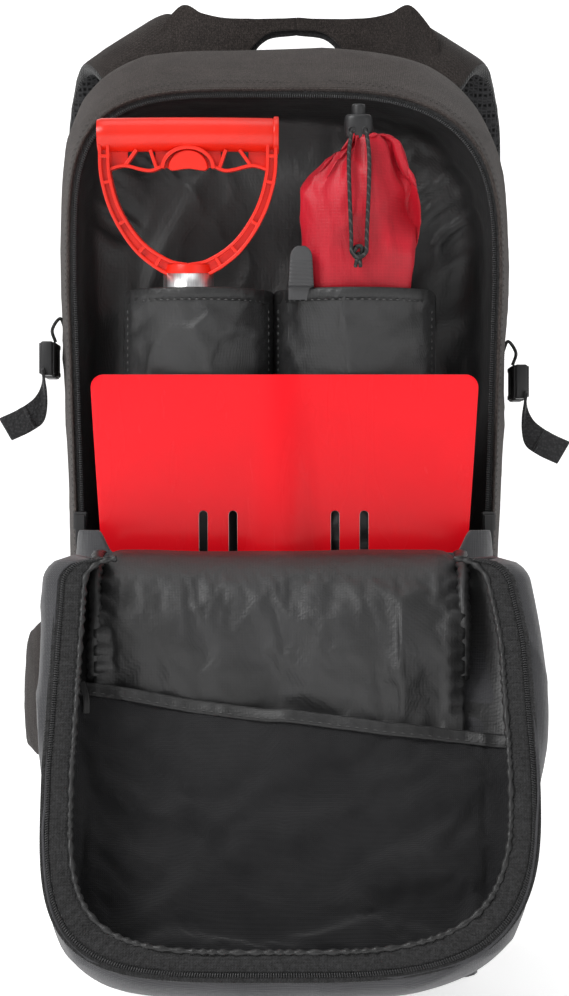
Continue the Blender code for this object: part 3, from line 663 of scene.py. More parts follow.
MATERIALS = {
    "melange": melange_fabric(),
    "shell": shell_fabric(),
    "lining": lining_nylon(),
    "pocket": pocket_fabric(),
    "webbing": webbing(),
    "binding": binding_tape(),
    "mesh": spacer_mesh(),
    "blade": blade_paint(),
    "metal": bare_metal("bare metal", (0.86, 0.86, 0.87), 0.32),
    "steel": bare_metal("brushed steel", (0.55, 0.55, 0.57), 0.35),
    "bare edge": bare_metal("bare edge", (0.80, 0.74, 0.72), 0.32),
    "lining binding": lining_nylon("lining binding", 0.011),
    "strap fabric": melange_fabric("strap fabric", 0.62),
    "pale thread": moulded_plastic("pale thread", (0.085, 0.085, 0.085), 0.7, 0.0002, 0.3),
    "thread": moulded_plastic("thread", (0.030, 0.028, 0.027), 0.8, 0.0002, 0.3),
    "grip": moulded_plastic("grip plastic", (0.80, 0.020, 0.008), 0.30, 0.00012, 0.42),
    "black plastic": moulded_plastic("black plastic", (0.016, 0.016, 0.017), 0.42),
    "grey plastic": moulded_plastic("grey plastic", (0.045, 0.045, 0.047), 0.5),
    "trigger": moulded_plastic("trigger plastic", (0.70, 0.02, 0.02), 0.4),
    "sheet plastic": moulded_plastic("frame sheet plastic", (0.10, 0.10, 0.11), 0.5),
    "dial": moulded_plastic("dial plastic", (0.75, 0.75, 0.72), 0.4),
    "ripstop": ripstop(),
    "cord": cord_sheath(),
    "zip": zip_coil(),
    "airbag": moulded_plastic("airbag cloth", (0.75, 0.16, 0.02), 0.7, 0.0006),
}


# ---- camera, floor and light ----
def stage():
    floor_steps = [(-9.0, 0.0), (6.0, 0.0)]
    curve = [(6.0 + 2.0 * sin(a), 2.0 - 2.0 * cos(a)) for a in spread(0, pi / 2, 12)]
    profile = floor_steps + curve[1:] + [(8.0, 9.0)]
    rows = [[(x, y, z) for y, z in profile] for x in (-12.0, 12.0)]
    floor = surface("floor_sweep", rows)
    paint = Paint("pale floor", (0.93, 0.93, 0.93), 0.9)
    paint.colour(paint.ramp(paint.noise(3, 2), [(0.3, (0.92, 0.92, 0.92)), (0.7, (0.94, 0.94, 0.94))]))
    paint.set("Emission Color", (1, 1, 1, 1)).set("Emission Strength", 0.62)
    material_on(floor, paint.material)
    bpy.context.scene.view_settings.view_transform = "Standard"
    world = bpy.data.worlds.new("studio")
    bpy.context.scene.world = world
    world.use_nodes = True
    world.node_tree.nodes["Background"].inputs["Color"].default_value = (1, 1, 1, 1)
    world.node_tree.nodes["Background"].inputs["Strength"].default_value = 0.36
    lamps = (
        ("key", (-1.4, -1.6, 1.8), 1.0, 44, (0, -0.05, 0.30)),
        ("fill", (1.7, -1.7, 0.8), 1.6, 5, (0, -0.05, 0.30)),
        ("top", (0.0, -0.3, 2.3), 1.2, 8, (0, 0.0, 0.30)),
    )
    for name, place, size, power, target in lamps:
        lamp = bpy.data.lights.new(name, "AREA")
        lamp.shape = "SQUARE"
        lamp.size = size
        lamp.energy = power
        obj = add_object(name, lamp)
        obj.location = place
        aim = Vector(target) - Vector(place)
        obj.rotation_euler = aim.to_track_quat("-Z", "Y").to_euler()


def camera():
    """Level with the pack's middle; its distance and lens give 0.62 mm a pixel at the blade."""
    distance, per_pixel = 1.60, 0.00062
    data = bpy.data.cameras.new("camera")
    data.sensor_width = 36
    data.lens = distance / per_pixel / max(PHOTO_SIZE) * data.sensor_width
    obj = add_object("camera", data)
    obj.location = (0.0, -0.065 - distance, 0.2947)
    obj.rotation_euler = (pi / 2, 0, 0)
    bpy.context.scene.camera = obj


# ---- pack body ----
def outer_shell():
    """The melange sides and top, from the zip rim round to the back seam."""
    rows = []
    for depth in spread(0, 1, 30):
        half, top, y = wall_shape(depth)
        rows.append([(x, y, z) for x, z in outline(half, top, 0.006)])
    shell = face_towards_outside(surface("outer_shell", rows))

    def hang(point):
        deep = clamp((point.y - RIM_Y) / (BACK_Y - RIM_Y))
        free = sin(pi * clamp(deep * 1.02)) ** 0.6
        soft = 0.0016 * roll(point, 14, seed=3) + 0.0012 * crease(point, 16, (1, 0.6, 1), 5, 3)
        return free * soft

    ruffle(shell, hang)
    thicken(shell, FABRIC, -1)
    dressed(shell, "melange", "pack", ("top_panel", "side_panel_left", "side_panel_right"))


def face_towards_outside(obj):
    """Turns normals away from the middle of the pack."""
    middle = Vector((0, 0.02, 0.30))
    score = sum(polygon.normal.dot(polygon.center - middle) * polygon.area for polygon in obj.data.polygons)
    if score < 0:
        obj.data.flip_normals()
    return obj


def lining_tub():
    """The glossy inside of the gear compartment, from the zip round to its flat back."""
    low = 0.030
    back = LINING_Y - 0.0016
    profile = [
        (1.0, -0.0355), (0.985, -0.030), (0.972, -0.018), (0.955, -0.006), (0.925, 0.002), (0.88, 0.0065)
    ]
    profile += [
        (share, back) for share in (0.82, 0.74, 0.66, 0.58, 0.50, 0.42, 0.34, 0.26, 0.18, 0.10, 0.04, 0.0)
    ]
    route = spline([(share, y, 0) for share, y in profile], 4)
    edge = outline(RIM_HALF - 0.004, RIM_TOP - 0.004, low, 60, 121)
    rows = []
    for step in route:
        row = []
        near_rim = sin(pi * clamp((1.0 - step.x) / 0.30)) ** 0.8
        for index, (x, z) in enumerate(edge):
            middle = Vector((0, step.y, clamp(z, 0.12, 0.40)))
            point = middle.lerp(Vector((x, step.y, z)), step.x)
            pleat = crease((index * 0.16, step.x * 2.0, 0), 1.0, seed=6, sharp=1.6) - 0.35
            point.y -= 0.0050 * near_rim * pleat
            row.append(point)
        rows.append(row)
    tub = face_towards(surface("lining_tub", rows), (0, -1, 0))

    def creased(point):
        inside = ease((point.y + 0.036) / 0.02)
        fold = 0.0030 * roll(point, 16, (1, 1, 0.55), 2) + 0.0042 * crease(point, 11, (1.2, 1, 0.45), 9, 3)
        fine = 0.0016 * crease(point, 30, (1, 1, 0.8), 4, 3)
        return inside * (fold + fine)

    ruffle(tub, creased)
    crumple(tub, lambda p: 1 - 0.97 * ease((p.y + 0.034) / 0.006), 0.045, 14, 0.006, Vector((0, 1, 0)))
    dressed(tub, "lining", "pack", ("lining_panel",))


def crumple(obj, held, extra=0.04, frames=16, cap=0.008, behind=None):
    """Lets cloth that is a little too big for its seams buckle; held(point) is 1 where it is sewn down.

    With `behind`, the way to what lies behind the cloth, it moves only a little that way."""
    scene = bpy.context.scene
    start = [vertex.co.copy() for vertex in obj.data.vertices]
    group = obj.vertex_groups.new(name="held")
    for index, point in enumerate(start):
        group.add([index], clamp(held(point)), "REPLACE")
    cloth = obj.modifiers.new("crumple", "CLOTH")
    rules = cloth.settings
    rules.quality = 5
    rules.mass = 0.15
    rules.tension_stiffness = 20
    rules.compression_stiffness = 20
    rules.shear_stiffness = 8
    rules.bending_stiffness = 0.5
    rules.shrink_min = -extra
    rules.vertex_group_mass = "held"
    rules.effector_weights.gravity = 0
    cloth.collision_settings.use_collision = False
    cloth.point_cache.frame_start = 1
    cloth.point_cache.frame_end = frames
    for frame_number in range(1, frames + 1):
        scene.frame_set(frame_number)
    applied(obj)
    obj.vertex_groups.clear()
    scene.frame_set(1)
    for vertex, place in zip(obj.data.vertices, start):
        moved = vertex.co - place
        if moved.length > cap:
            moved = moved.normalized() * cap
        if behind:
            moved -= behind * max(0.0, moved.dot(behind) * 0.95)
        vertex.co = place + moved
    obj.data.update()
    return obj


def puffed(obj, voxel=0.005, pressure=4.0, cap=0.006):
    """Blows a pad up a little by cloth simulation, so that its faces crown like stuffed fabric."""
    applied(obj)
    remesh = obj.modifiers.new("remesh", "REMESH")
    remesh.mode = "VOXEL"
    remesh.voxel_size = voxel
    applied(obj)
    scene = bpy.context.scene
    start = [vertex.co.copy() for vertex in obj.data.vertices]
    cloth = obj.modifiers.new("puff", "CLOTH")
    rules = cloth.settings
    rules.use_pressure = True
    rules.uniform_pressure_force = pressure
    rules.effector_weights.gravity = 0
    cloth.collision_settings.use_collision = False
    cloth.point_cache.frame_start = 1
    cloth.point_cache.frame_end = 20
    for frame_number in range(1, 21):
        scene.frame_set(frame_number)
    applied(obj)
    scene.frame_set(1)
    for vertex, place in zip(obj.data.vertices, start):
        moved = vertex.co - place
        if moved.length > cap:
            vertex.co = place + moved.normalized() * cap
    obj.data.shade_smooth()
    return smooth_more(obj)


# ---- stitches and zips ----
def stitches(name, route, face, length=0.0028, gap=0.0014, radius=0.00032):
    """A row of short raised threads along a route; face(point) is the way the cloth faces."""
    walked = even_steps(route, length + gap)
    threads = []
    for a, b in zip(walked, walked[1:]):
        ahead = (b - a).normalized()
        up = Vector(face(a)).normalized()
        end = a + ahead * length
        middle = (a + end) / 2
        threads.append((a - up * radius, middle + up * radius * 1.2, end - up * radius))
    points, faces = [], []
    for low, middle, high in threads:
        ahead = (high - low).normalized()
        side = ahead.cross(Vector(face(middle)).normalized()) * radius
        base = len(points)
        points += [
            low, middle - side, high, middle + side, middle + Vector(face(middle)).normalized() * radius
        ]
        faces += [(base, base + 1, base + 4), (base + 1, base + 2, base + 4)]
        faces += [(base + 2, base + 3, base + 4), (base + 3, base, base + 4)]
    return mesh_object(name, points, faces)


def zip_teeth(name, route, face, inward, pitch=0.0014, width=0.0026, radius=0.00046):
    """The coil of one zip half: a close row of small rounded bars across the tape's edge."""
    points, faces = [], []
    sides = 6
    for place in even_steps(route, pitch):
        across = Vector(inward(place)).normalized()
        up = Vector(face(place)).normalized()
        ahead = across.cross(up)
        base = len(points)
        for share in (0.0, 0.2, 0.8, 1.0):
            size = radius * (0.55 if share in (0.0, 1.0) else 1.0)
            centre = place + across * width * share
            for step in range(sides):
                turn = 2 * pi * step / sides
                points.append(centre + (ahead * cos(turn) + up * sin(turn) * 1.25) * size)
        for ring in range(3):
            for step in range(sides):
                a = base + ring * sides + step
                b = base + ring * sides + (step + 1) % sides
                faces.append((a, b, b + sides, a + sides))
        faces.append(tuple(base + step for step in reversed(range(sides))))
        faces.append(tuple(base + 3 * sides + step for step in range(sides)))
    return mesh_object(name, points, faces)


def rim_route(half, top, y, low, steps=40, arch=121):
    return [Vector((x, y, z)) for x, z in outline(half, top, low, steps, arch)]


def towards_middle(point):
    """From a rim point towards the middle line of the opening."""
    return Vector((0, point.y, clamp(point.z, 0.12, 0.43))) - point


def edge_band(name, route, inner, drop, pucker=0.0, rows=5):
    """A band that runs along a rim and drops away inside it; pucker gathers its free edge."""
    lines = []
    for share in spread(0, 1, rows):
        line = []
        for index, (a, b) in enumerate(zip(route, inner)):
            wave = pucker * share * sin(index * 1.9 + 2.0 * sin(index * 0.37))
            line.append(a.lerp(b, share) + Vector((0, drop(share) + wave, 0)))
        lines.append(line)
    return surface(name, lines)


def body_zip():
    low = HINGE_Z - 0.004
    y = RIM_Y - 0.0010
    edge = rim_route(RIM_HALF - 0.0004, RIM_TOP - 0.0004, y, low, 60, 181)
    inner = rim_route(RIM_HALF - 0.0052, RIM_TOP - 0.0052, y, low, 60, 181)
    tape = edge_band("body_zip_tape", edge, inner, lambda share: 0.0)
    thicken(face_towards(tape, (0, -1, 0)), 0.0009, -1)
    material_on(tape, MATERIALS["binding"])
    coil = rim_route(RIM_HALF - 0.0034, RIM_TOP - 0.0034, y - 0.0008, low, 60, 181)
    teeth = zip_teeth("body_zip_teeth", coil, lambda point: (0, -1, 0), towards_middle)
    material_on(teeth, MATERIALS["zip"])
    chain = joined("body_zip_chain", [tape, teeth])
    put(chain, "pack", ("body_zip",))


def top_stitching():
    """Two rows of stitches on the melange, beside the zip and along the back seam."""
    for label, depth in (("rim", 0.075), ("rim_second", 0.105), ("back", 0.94)):
        half, top, y = wall_shape(depth)
        route = rim_route(half + 0.0002, top + 0.0002, y, 0.02, 60, 161)
        threads = stitches(f"stitches_{label}", route, lambda point: -towards_middle(point))
        dressed(threads, "thread", "pack")


def rim_welt():
    """The rolled edge of melange that covers the zip tape."""
    rows = []
    for share in spread(0, 1, 7):
        turn = lerp(-0.2, pi * 0.95, share)
        out, y = 0.0016 * sin(turn), RIM_Y - 0.0006 - 0.0010 * (1 - cos(turn))
        rows.append(rim_route(RIM_HALF - 0.0012 + out, RIM_TOP - 0.0012 + out, y, 0.262, 40, 161))
    welt = face_towards_outside(surface("rim_welt", rows))
    thicken(welt, 0.0008, 0)
    dressed(welt, "melange", "pack")


# ---- sleeves ----
def sleeve_depth(z):
    return 0.0405 + (z - 0.030) * (0.0355 / (HEM_Z - 0.030))


def sleeve_point(x, z, out=0.0):
    """The front of the gear sleeves."""
    start, end = (SLEEVE_LEFT, SLEEVE_MIDDLE) if x <= SLEEVE_MIDDLE else (SLEEVE_MIDDLE, SLEEVE_RIGHT)
    share = clamp((x - start) / (end - start))
    rise = max(0.0, sin(pi * share)) ** 0.24 if 0 < share < 1 else 0.0
    return Vector((x, LINING_Y - 0.0023 - sleeve_depth(z) * rise - out, z))


def sleeve_columns(per_sleeve=46):
    """Closer together near the seams, where the cloth turns sharply."""
    columns = []
    for start, end in ((SLEEVE_LEFT, SLEEVE_MIDDLE), (SLEEVE_MIDDLE, SLEEVE_RIGHT)):
        for share in spread(0, 1, per_sleeve):
            eased = 0.5 - 0.5 * cos(pi * share)
            columns.append(lerp(start, end, lerp(share, eased, 0.85)))
    return columns[:per_sleeve] + columns[per_sleeve + 1 :]


def sleeves():
    columns = sleeve_columns()
    rows = [[sleeve_point(x, z) for x in columns] for z in spread(0.030, HEM_Z, 110)]
    panel = face_towards(surface("sleeve_panel", rows), (0, -1, 0))
    seams = (SLEEVE_LEFT, SLEEVE_MIDDLE, SLEEVE_RIGHT)

    def near_seam(x):
        return min(abs(x - seam) for seam in seams)

    def creased(point):
        free = ease(near_seam(point.x) / 0.012) * ease((HEM_Z + 0.004 - point.z) / 0.02)
        fold = 0.0026 * crease(point, 13, (1, 1, 0.6), 3, 3) + 0.0016 * roll(point, 22, (1, 1, 0.5), 7)
        return free * (fold - 0.0018) * 0.7

    ruffle(panel, creased)
    crumple(
        panel,
        lambda p: 1.0
        if near_seam(p.x) < 0.005
        else 0.08 + 0.5 * ease((p.z - 0.41) / 0.02),
        0.05,
        14,
        0.0035,
        Vector((0, 1, 0))
    )
    thicken(panel, 0.0009, 0)
    dressed(panel, "lining", "pack", ("sleeve_pocket",))
    hem_rows = []
    for share in spread(0, 1, 9):
        turn = pi * share
        line = []
        for x in columns:
            wave = 0.0006 * sin(x * 900) + 0.0008 * roll((x, 0, 0), 60)
            line.append(
                sleeve_point(
                    x, HEM_Z + 0.0002 - 0.0080 * (1 - sin(turn) ** 0.5), 0.0007 * cos(turn) + wave * 0.5
                )
            )
        hem_rows.append(line)
    hem = surface("sleeve_hem", hem_rows)
    thicken(hem, 0.0005, 0)
    dressed(hem, "lining binding", "pack")
    for label, seam in zip(("left", "middle", "right"), seams):
        wide = 0.0017
        route = [Vector((seam, LINING_Y - 0.0045, z)) for z in spread(0.032, HEM_Z + 0.0008, 90)]
        for point in route:
            point.x += 0.0008 * roll(point, 40, seed=seam * 50)
        radii = [wide * (0.85 + 0.2 * abs(sin(point.z * 700))) for point in route]
        piping = tube(f"sleeve_piping_{label}", route, radii, 10)
        dressed(piping, "lining binding", "pack")
    rows_of_thread = [[sleeve_point(x, HEM_Z - 0.0072, 0.0012) for x in columns]]
    for beside in (
        SLEEVE_LEFT + 0.0030, SLEEVE_MIDDLE - 0.0030, SLEEVE_MIDDLE + 0.0030, SLEEVE_RIGHT - 0.0030
    ):
        rows_of_thread.append([sleeve_point(beside, z, 0.0012) for z in spread(0.034, HEM_Z - 0.008, 120)])
    threads = []
    for route in rows_of_thread:
        threads.append(stitches("sleeve_thread", route, lambda point: (0, -1, 0), 0.0030, 0.0016, 0.00045))
    dressed(joined("sleeve_stitches", threads), "pale thread", "pack")


# ---- shovel ----
def blade_half(z):
    half = lerp(0.098, BLADE_HALF, clamp((z - 0.105) / (BLADE_TOP - 0.105)) ** 0.6)
    if z < 0.105:
        half = lerp(0.030, 0.098, sqrt(clamp((z - BLADE_BOTTOM) / (0.105 - BLADE_BOTTOM))))
    corner = 0.0085
    into = max(0.0, z - (BLADE_TOP - corner))
    return half - corner + sqrt(max(0.0, corner**2 - into**2))


def blade_bump(x, z):
    """The pressed ridge that grows down the middle, with a shallow dish at each side."""
    down = clamp(1 - (z - BLADE_BOTTOM) / 0.290)
    width = lerp(0.016, 0.044, down)
    ridge = 0.0150 * down**0.9 * (0.5 + 0.5 * cos(pi * min(1.0, abs(x) / width)))
    return ridge + 0.0012 * (1 - (x / BLADE_HALF) ** 2) * down


def shovel_blade():
    levels = spread(BLADE_BOTTOM, BLADE_TOP - 0.009, 60)
    levels += [BLADE_TOP - 0.0085 * (1 - sin(angle)) for angle in spread(0.1, pi / 2, 12)]
    rows = []
    for z in levels:
        half = blade_half(z)
        rows.append(
            [
                gear_point((share * half, BLADE_Y - blade_bump(share * half, z), z))
                for share in spread(-1, 1, 97)
            ]
        )
    blade = face_towards(surface("blade_sheet", rows), (0, -1, 0))
    material_on(blade, MATERIALS["blade"], MATERIALS["bare edge"])
    thicken(blade, 0.0016, 0, 1)
    slots = []
    for x in SLOT_PLACES:
        low, high = (x - 0.0028, BLADE_Y - 0.02, SLOT_LOW), (x + 0.0028, BLADE_Y + 0.02, SLOT_HIGH)
        slot = block("blade_slot", low, high, 0.0026, 5)
        slot.data.transform(GEAR_TURN)
        slots.append(material_on(slot, MATERIALS["bare edge"]))
    cutter = joined("blade_slots", slots)
    cut = blade.modifiers.new("slots", "BOOLEAN")
    cut.object = cutter
    cut.solver = "EXACT"
    cut.material_mode = "TRANSFER"
    applied(blade)
    bpy.data.objects.remove(cutter, do_unlink=True)
    soften(blade, 0.0004, 2, 50)
    put(blade, "shovel_blade", ("shovel_blade",))
    rims = []
    for x in SLOT_PLACES:
        loop = []
        for angle in circle(24):
            z = (SLOT_LOW + SLOT_HIGH) / 2 + (0.0132 if sin(angle) > 0 else -0.0132) + 0.0029 * sin(angle)
            loop.append(gear_point((x + 0.0029 * cos(angle), BLADE_Y - 0.0007, z)))
        loop += [loop[0], loop[1]]
        rims.append(tube("slot_edge", loop, 0.0004, 6, caps=False))
    dressed(joined("slot_edges", rims), "bare edge", "shovel_blade")


def grip_point(x, y, rise):
    """A point of the D-grip, from the middle of its bar."""
    return gear_point((HANDLE_X + x, y, BAR_ALONG + rise))


def swept(name, route, section, across=(0, 1, 0)):
    """A closed section, as (out, deep) pairs, carried along a route that lies square to `across`."""
    deep = Vector(across)
    rows = []
    for index, point in enumerate(route):
        out = ahead_at(route, index).cross(deep).normalized()
        pairs = section(index / (len(route) - 1))
        rows.append([point + out * a + deep * b for a, b in pairs])
    return cap_ends(surface(name, rows, closed=True), len(rows[0]))


def bar_section(half_out, half_deep, offset=0.0, round_off=0.0006):
    """A rectangle with softened corners, as (out, deep) pairs."""
    pairs = []
    for corner, start in (((1, 1), 0), ((-1, 1), 1), ((-1, -1), 2), ((1, -1), 3)):
        for step in (0.0, 0.5, 1.0):
            turn = (start + step) * pi / 2
            out = corner[0] * (half_out - round_off) + round_off * cos(turn)
            deep = corner[1] * (half_deep - round_off) + round_off * sin(turn)
            pairs.append((out + offset, deep))
    return pairs


def grip():
    bow = [(-0.0522, 0, -0.006), (-0.0512, 0, -0.026), (-0.0445, 0, -0.048)]
    bow += [(-0.0310, 0, -0.0685), (-0.0140, 0, -0.0810), (0, 0, -0.0845)]
    left = spline(bow, 14)
    route = left[:-1] + [Vector((-p.x, 0, p.z)) for p in reversed(left)]
    band = [lerp(0.0036, 0.0052, ease(1 - abs(p.x) / 0.052)) for p in route]
    parts = []

    def wall(name, sign):
        def section(share):
            middle = band[round(share * (len(band) - 1))] * sign
            return bar_section(0.0011, 0.0086, middle - sign * 0.0011)

        return swept(name, route, section)

    parts += [wall("outer_rim", 1), wall("inner_rim", -1)]
    parts.append(
        swept(
            "rim_web", route, lambda share: bar_section(band[round(share * (len(band) - 1))] - 0.001, 0.0050)
        )
    )
    count = len(route)
    for share in (0.035, 0.115, 0.225, 0.315, 0.375, 0.435, 0.5, 0.565, 0.625, 0.685, 0.775, 0.885, 0.965):
        index = round(share * (count - 1))
        out = ahead_at(route, index).cross(Vector((0, 1, 0)))
        ends = [route[index] - out * band[index], route[index] + out * band[index]]
        parts.append(swept("rib", ends, lambda _: bar_section(0.0011, 0.0084, 0, 0.0003)))
    parts += grip_truss()
    bar = []
    for x in spread(-BAR_HALF, BAR_HALF - 0.002, 41):
        bar.append(Vector((x, 0, 0.0006 * (1 - (x / BAR_HALF) ** 2))))
    parts.append(
        tube("bar", bar, [BAR_RADIUS - (0.0008 if index in (0, 40) else 0) for index in range(41)], 48)
    )
    cap = [Vector((BAR_HALF + x, 0, 0)) for x in (-0.0035, -0.0030, -0.0004, 0.0)]
    parts.append(tube("bar_cap", cap, [0.0109, 0.0117, 0.0117, 0.0108], 48))
    neck = [Vector((0, 0, z)) for z in (-0.0880, -0.0840, -0.0800)]
    parts.append(tube("neck", neck, [0.0150, 0.0150, 0.0140], 40))
    handle = joined("grip_frame", parts)
    handle.data.transform(GEAR_TURN @ Matrix.Translation((HANDLE_X, 0, BAR_ALONG)))
    material_on(handle, MATERIALS["grip"])
    sharp = handle.modifiers.new("edges", "WEIGHTED_NORMAL")
    sharp.keep_sharp = True
    put(handle, "shovel_handle", ("shovel_grip",))
    ends = [grip_point(0, 0, rise) for rise in (-0.118, -0.100, -0.0855)]
    dressed(tube("shaft_top", ends, 0.0158, 48), "metal", "shovel_handle")


def grip_truss():
    """The ribs and the half disc that brace the bar."""
    parts = []
    chord = [
        (-0.0500, -0.0215), (-0.0400, -0.0188), (-0.0290, -0.0212), (-0.0225, -0.0218), (-0.0160, -0.0192)
    ]
    for side in (-1, 1):
        route = spline([(-side * x, 0, z) for x, z in chord], 6)
        parts.append(swept("chord", route, lambda _: bar_section(0.0010, 0.0070, 0, 0.0004)))
        for (ax, az), (bx, bz) in (
            ((-0.0395, -0.0195), (-0.0320, -0.009)), ((-0.0195, -0.0205), (-0.0235, -0.009))
        ):
            ends = [Vector((-side * ax, 0, az)), Vector((-side * bx, 0, bz))]
            parts.append(swept("brace", ends, lambda _: bar_section(0.0011, 0.0066, 0, 0.0004)))
    arch = [Vector((0.0158 * cos(a), 0, -0.0205 + 0.0130 * sin(a))) for a in spread(pi, 0, 25)]
    parts.append(swept("arch", arch, lambda _: bar_section(0.0012, 0.0082, 0, 0.0004)))
    rows = []
    for y in (-0.0064, -0.0058, 0.0058, 0.0064):
        reach = 0.0118 if abs(y) > 0.006 else 0.0126
        half_disc = [Vector((reach * cos(a), y, -0.0205 + reach * 0.92 * sin(a))) for a in spread(pi, 0, 21)]
        rows.append(
            half_disc + [
                Vector((x * 0.95, y, -0.0212 + 0.0006 * cos(x * 300))) for x in spread(0.011, -0.011, 9)
            ]
        )
    parts.append(cap_ends(surface("half_disc", rows, closed=True), len(rows[0])))
    for start, end in ((-0.0500, -0.0375), (-0.0205, 0.0205), (0.0375, 0.0500)):
        parts.append(block("truss_web", (start, -0.0006, -0.0200), (end, 0.0006, -0.006), 0.0003, 1))
    return parts


# ---- probe ----
def probe_bag():
    """A loose drawstring bag: low left shoulder, full right corner, gathered where the cord closes it."""
    shape = (
        (0.130, 0.020, 0.020, 0.0100),
        (0.142, 0.029, 0.029, 0.0124),
        (0.220, 0.0320, 0.0320, 0.0118),
        (0.340, 0.0325, 0.0325, 0.0118),
        (0.405, 0.0330, 0.0330, 0.0124),
        (0.428, 0.0356, 0.0362, 0.0144),
        (0.452, 0.0364, 0.0392, 0.0162),
        (0.467, 0.0350, 0.0372, 0.0156),
        (0.478, 0.0285, 0.0325, 0.0144),
        (0.487, 0.0190, 0.0288, 0.0125),
        (0.494, 0.0105, 0.0262, 0.0102),
        (0.4995, 0.0060, 0.0235, 0.0078),
        (0.5030, 0.0046, 0.0160, 0.0056),
        (0.5010, 0.0042, 0.0062, 0.0046),
        (0.5040, 0.0040, 0.0050, 0.0042),
    )
    stations = spline([(along, left, right) for along, left, right, _ in shape], 6)
    depths = spline([(depth, 0, 0) for *_, depth in shape], 6)
    round_points = 96
    rows = []
    for (along, left, right), deep in zip(stations, depths):
        row = []
        near_neck = ease((along - 0.460) / 0.036)
        for angle in circle(round_points):
            side = cos(angle)
            half = right if side > 0 else left
            x = half * copysign(abs(side) ** 0.9, side)
            y = deep.x * copysign(abs(sin(angle)) ** 0.9, sin(angle))
            if y < 0:
                y = min(y + max(0.0, x - 0.011) * 1.0 * ease((along - 0.43) / 0.03), deep.x * 0.5)
            pleat = 1 + near_neck * 0.10 * sin(11 * angle + 1.3 * sin(3 * angle))
            row.append(gear_point((PROBE_X + x * pleat, y * (1 + near_neck * 0.22 * sin(13 * angle)), along)))
        rows.append(row)
    bag = cap_ends(surface("probe_bag_cloth", rows, closed=True), round_points)

    def creased(point):
        high = ease((point.z - 0.432) / 0.02)
        fold = 0.0022 * crease(point, 26, (1, 0.4, 0.7), 2, 3) + 0.0014 * crease(
            point, 46, (1.2, 0.4, 0.5), 8, 3
        )
        return high * (fold - 0.0014) + 0.0008 * high * roll(point, 30)

    ruffle(bag, creased)
    dressed(bag, "ripstop", "probe", ("probe_bag",))


def probe_cord():
    """The doubled closing cord: out of the lock, down the bag, round the knot and back."""
    run = [(-0.0046, -0.0118, LOCK_LOW + 0.004), (-0.0062, -0.0160, 0.490)]
    run += [(-0.0060, -0.0200, 0.470), (-0.0048, -0.0200, 0.440)]
    down = spline(run, 10)
    bend = 0.0048
    loop = [Vector((bend * cos(a), -0.0200, 0.432 + bend * sin(a))) for a in spread(pi, 2 * pi, 16)]
    back = [Vector((-point.x, point.y, point.z)) for point in reversed(down)]
    route = [gear_point((PROBE_X + p.x, p.y, p.z)) for p in down + loop[1:-1] + back]
    curve = bpy.data.curves.new("draw_cord", "CURVE")
    curve.dimensions = "3D"
    curve.bevel_depth = 0.0013
    curve.bevel_resolution = 3
    curve.use_fill_caps = True
    path = curve.splines.new("POLY")
    path.points.add(len(route) - 1)
    for point, place in zip(path.points, route):
        point.co = (*place, 1)
    cord = add_object("draw_cord", curve)
    dressed(cord, "cord", "probe", ("drawcord",))
    knot_centre = gear_point((PROBE_X, -0.0180, 0.4300))
    turns = []
    for step in spread(0, 1, 90):
        a = step * 2 * pi * 2
        turns.append(
            knot_centre + Vector(
                ((0.0030 + 0.0011 * cos(3 * a / 2)) * cos(a), 0.0016 * sin(1.5 * a), 0.0036 * sin(a))
            )
        )
    dressed(tube("cord_knot", turns, 0.00125, 10), "cord", "probe")
    for label, sway in (("left", -0.0022), ("right", 0.0010)):
        tail = spline(
            [
                knot_centre,
                knot_centre + Vector((sway * 0.6, 0, -0.005)),
                knot_centre + Vector((sway, 0, -0.0095))
            ],
            6
        )
        dressed(
            tube(f"cord_end_{label}", tail, [0.00125] * (len(tail) - 1) + [0.0009], 10),
            "cord",
            "probe",
        )


def cord_lock():
    """A barrel cord lock: a rounded body with two cord holes, and its spring button."""
    low, high = LOCK_LOW, LOCK_HIGH
    heights = (low, low + 0.0012, low + 0.0045, high - 0.0045, high - 0.0012, high)
    sizes = (0.86, 1.0, 1.05, 1.05, 1.0, 0.84)
    rows = []
    for z, size in zip(heights, sizes):
        row = []
        for step in range(40):
            angle = 2 * pi * step / 40
            x = 0.0085 * size * copysign(abs(cos(angle)) ** 0.8, cos(angle))
            y = 0.0062 * size * copysign(abs(sin(angle)) ** 0.8, sin(angle))
            row.append(gear_point((PROBE_X + x, y, z)))
        rows.append(row)
    centre = gear_point((PROBE_X, 0, high + 0.0004))
    rows.append([centre.lerp(point, 0.55) for point in rows[-1]])
    inner = gear_point((PROBE_X, 0, high - 0.006))
    rows.append([point + (inner - centre) for point in rows[-1]])
    body = surface("cord_lock_body", rows, closed=True)
    smooth_more(body)
    holes = []
    for side in (-1, 1):
        ring = []
        for angle in spread(0, 2 * pi, 21):
            ring.append(
                gear_point(
                    (
                        PROBE_X + side * 0.0044 + 0.0019 * cos(angle),
                        -0.0062,
                        low + 0.0050 + 0.0019 * sin(angle)
                    )
                )
            )
        holes.append(tube("eyelet", ring, 0.0006, 8, caps=False))
    dressed(
        joined("cord_lock_body_and_eyelets", [body, *holes]),
        "black plastic",
        "probe",
        ("cord_lock",)
    )
    rows = []
    for z, radius in (
        (-0.001, 0.0043), (0.0045, 0.0043), (0.0058, 0.0040), (0.0063, 0.0032), (0.0063, 0.0010)
    ):
        rows.append(
            [
                gear_point((PROBE_X + radius * cos(a), radius * sin(a), high + z))
                for a in spread(0, 2 * pi, 25)[:-1]
            ]
        )
    button = surface("cord_lock_button", rows, closed=True)
    dressed(button, "black plastic", "lock_button", ("lock_button",))


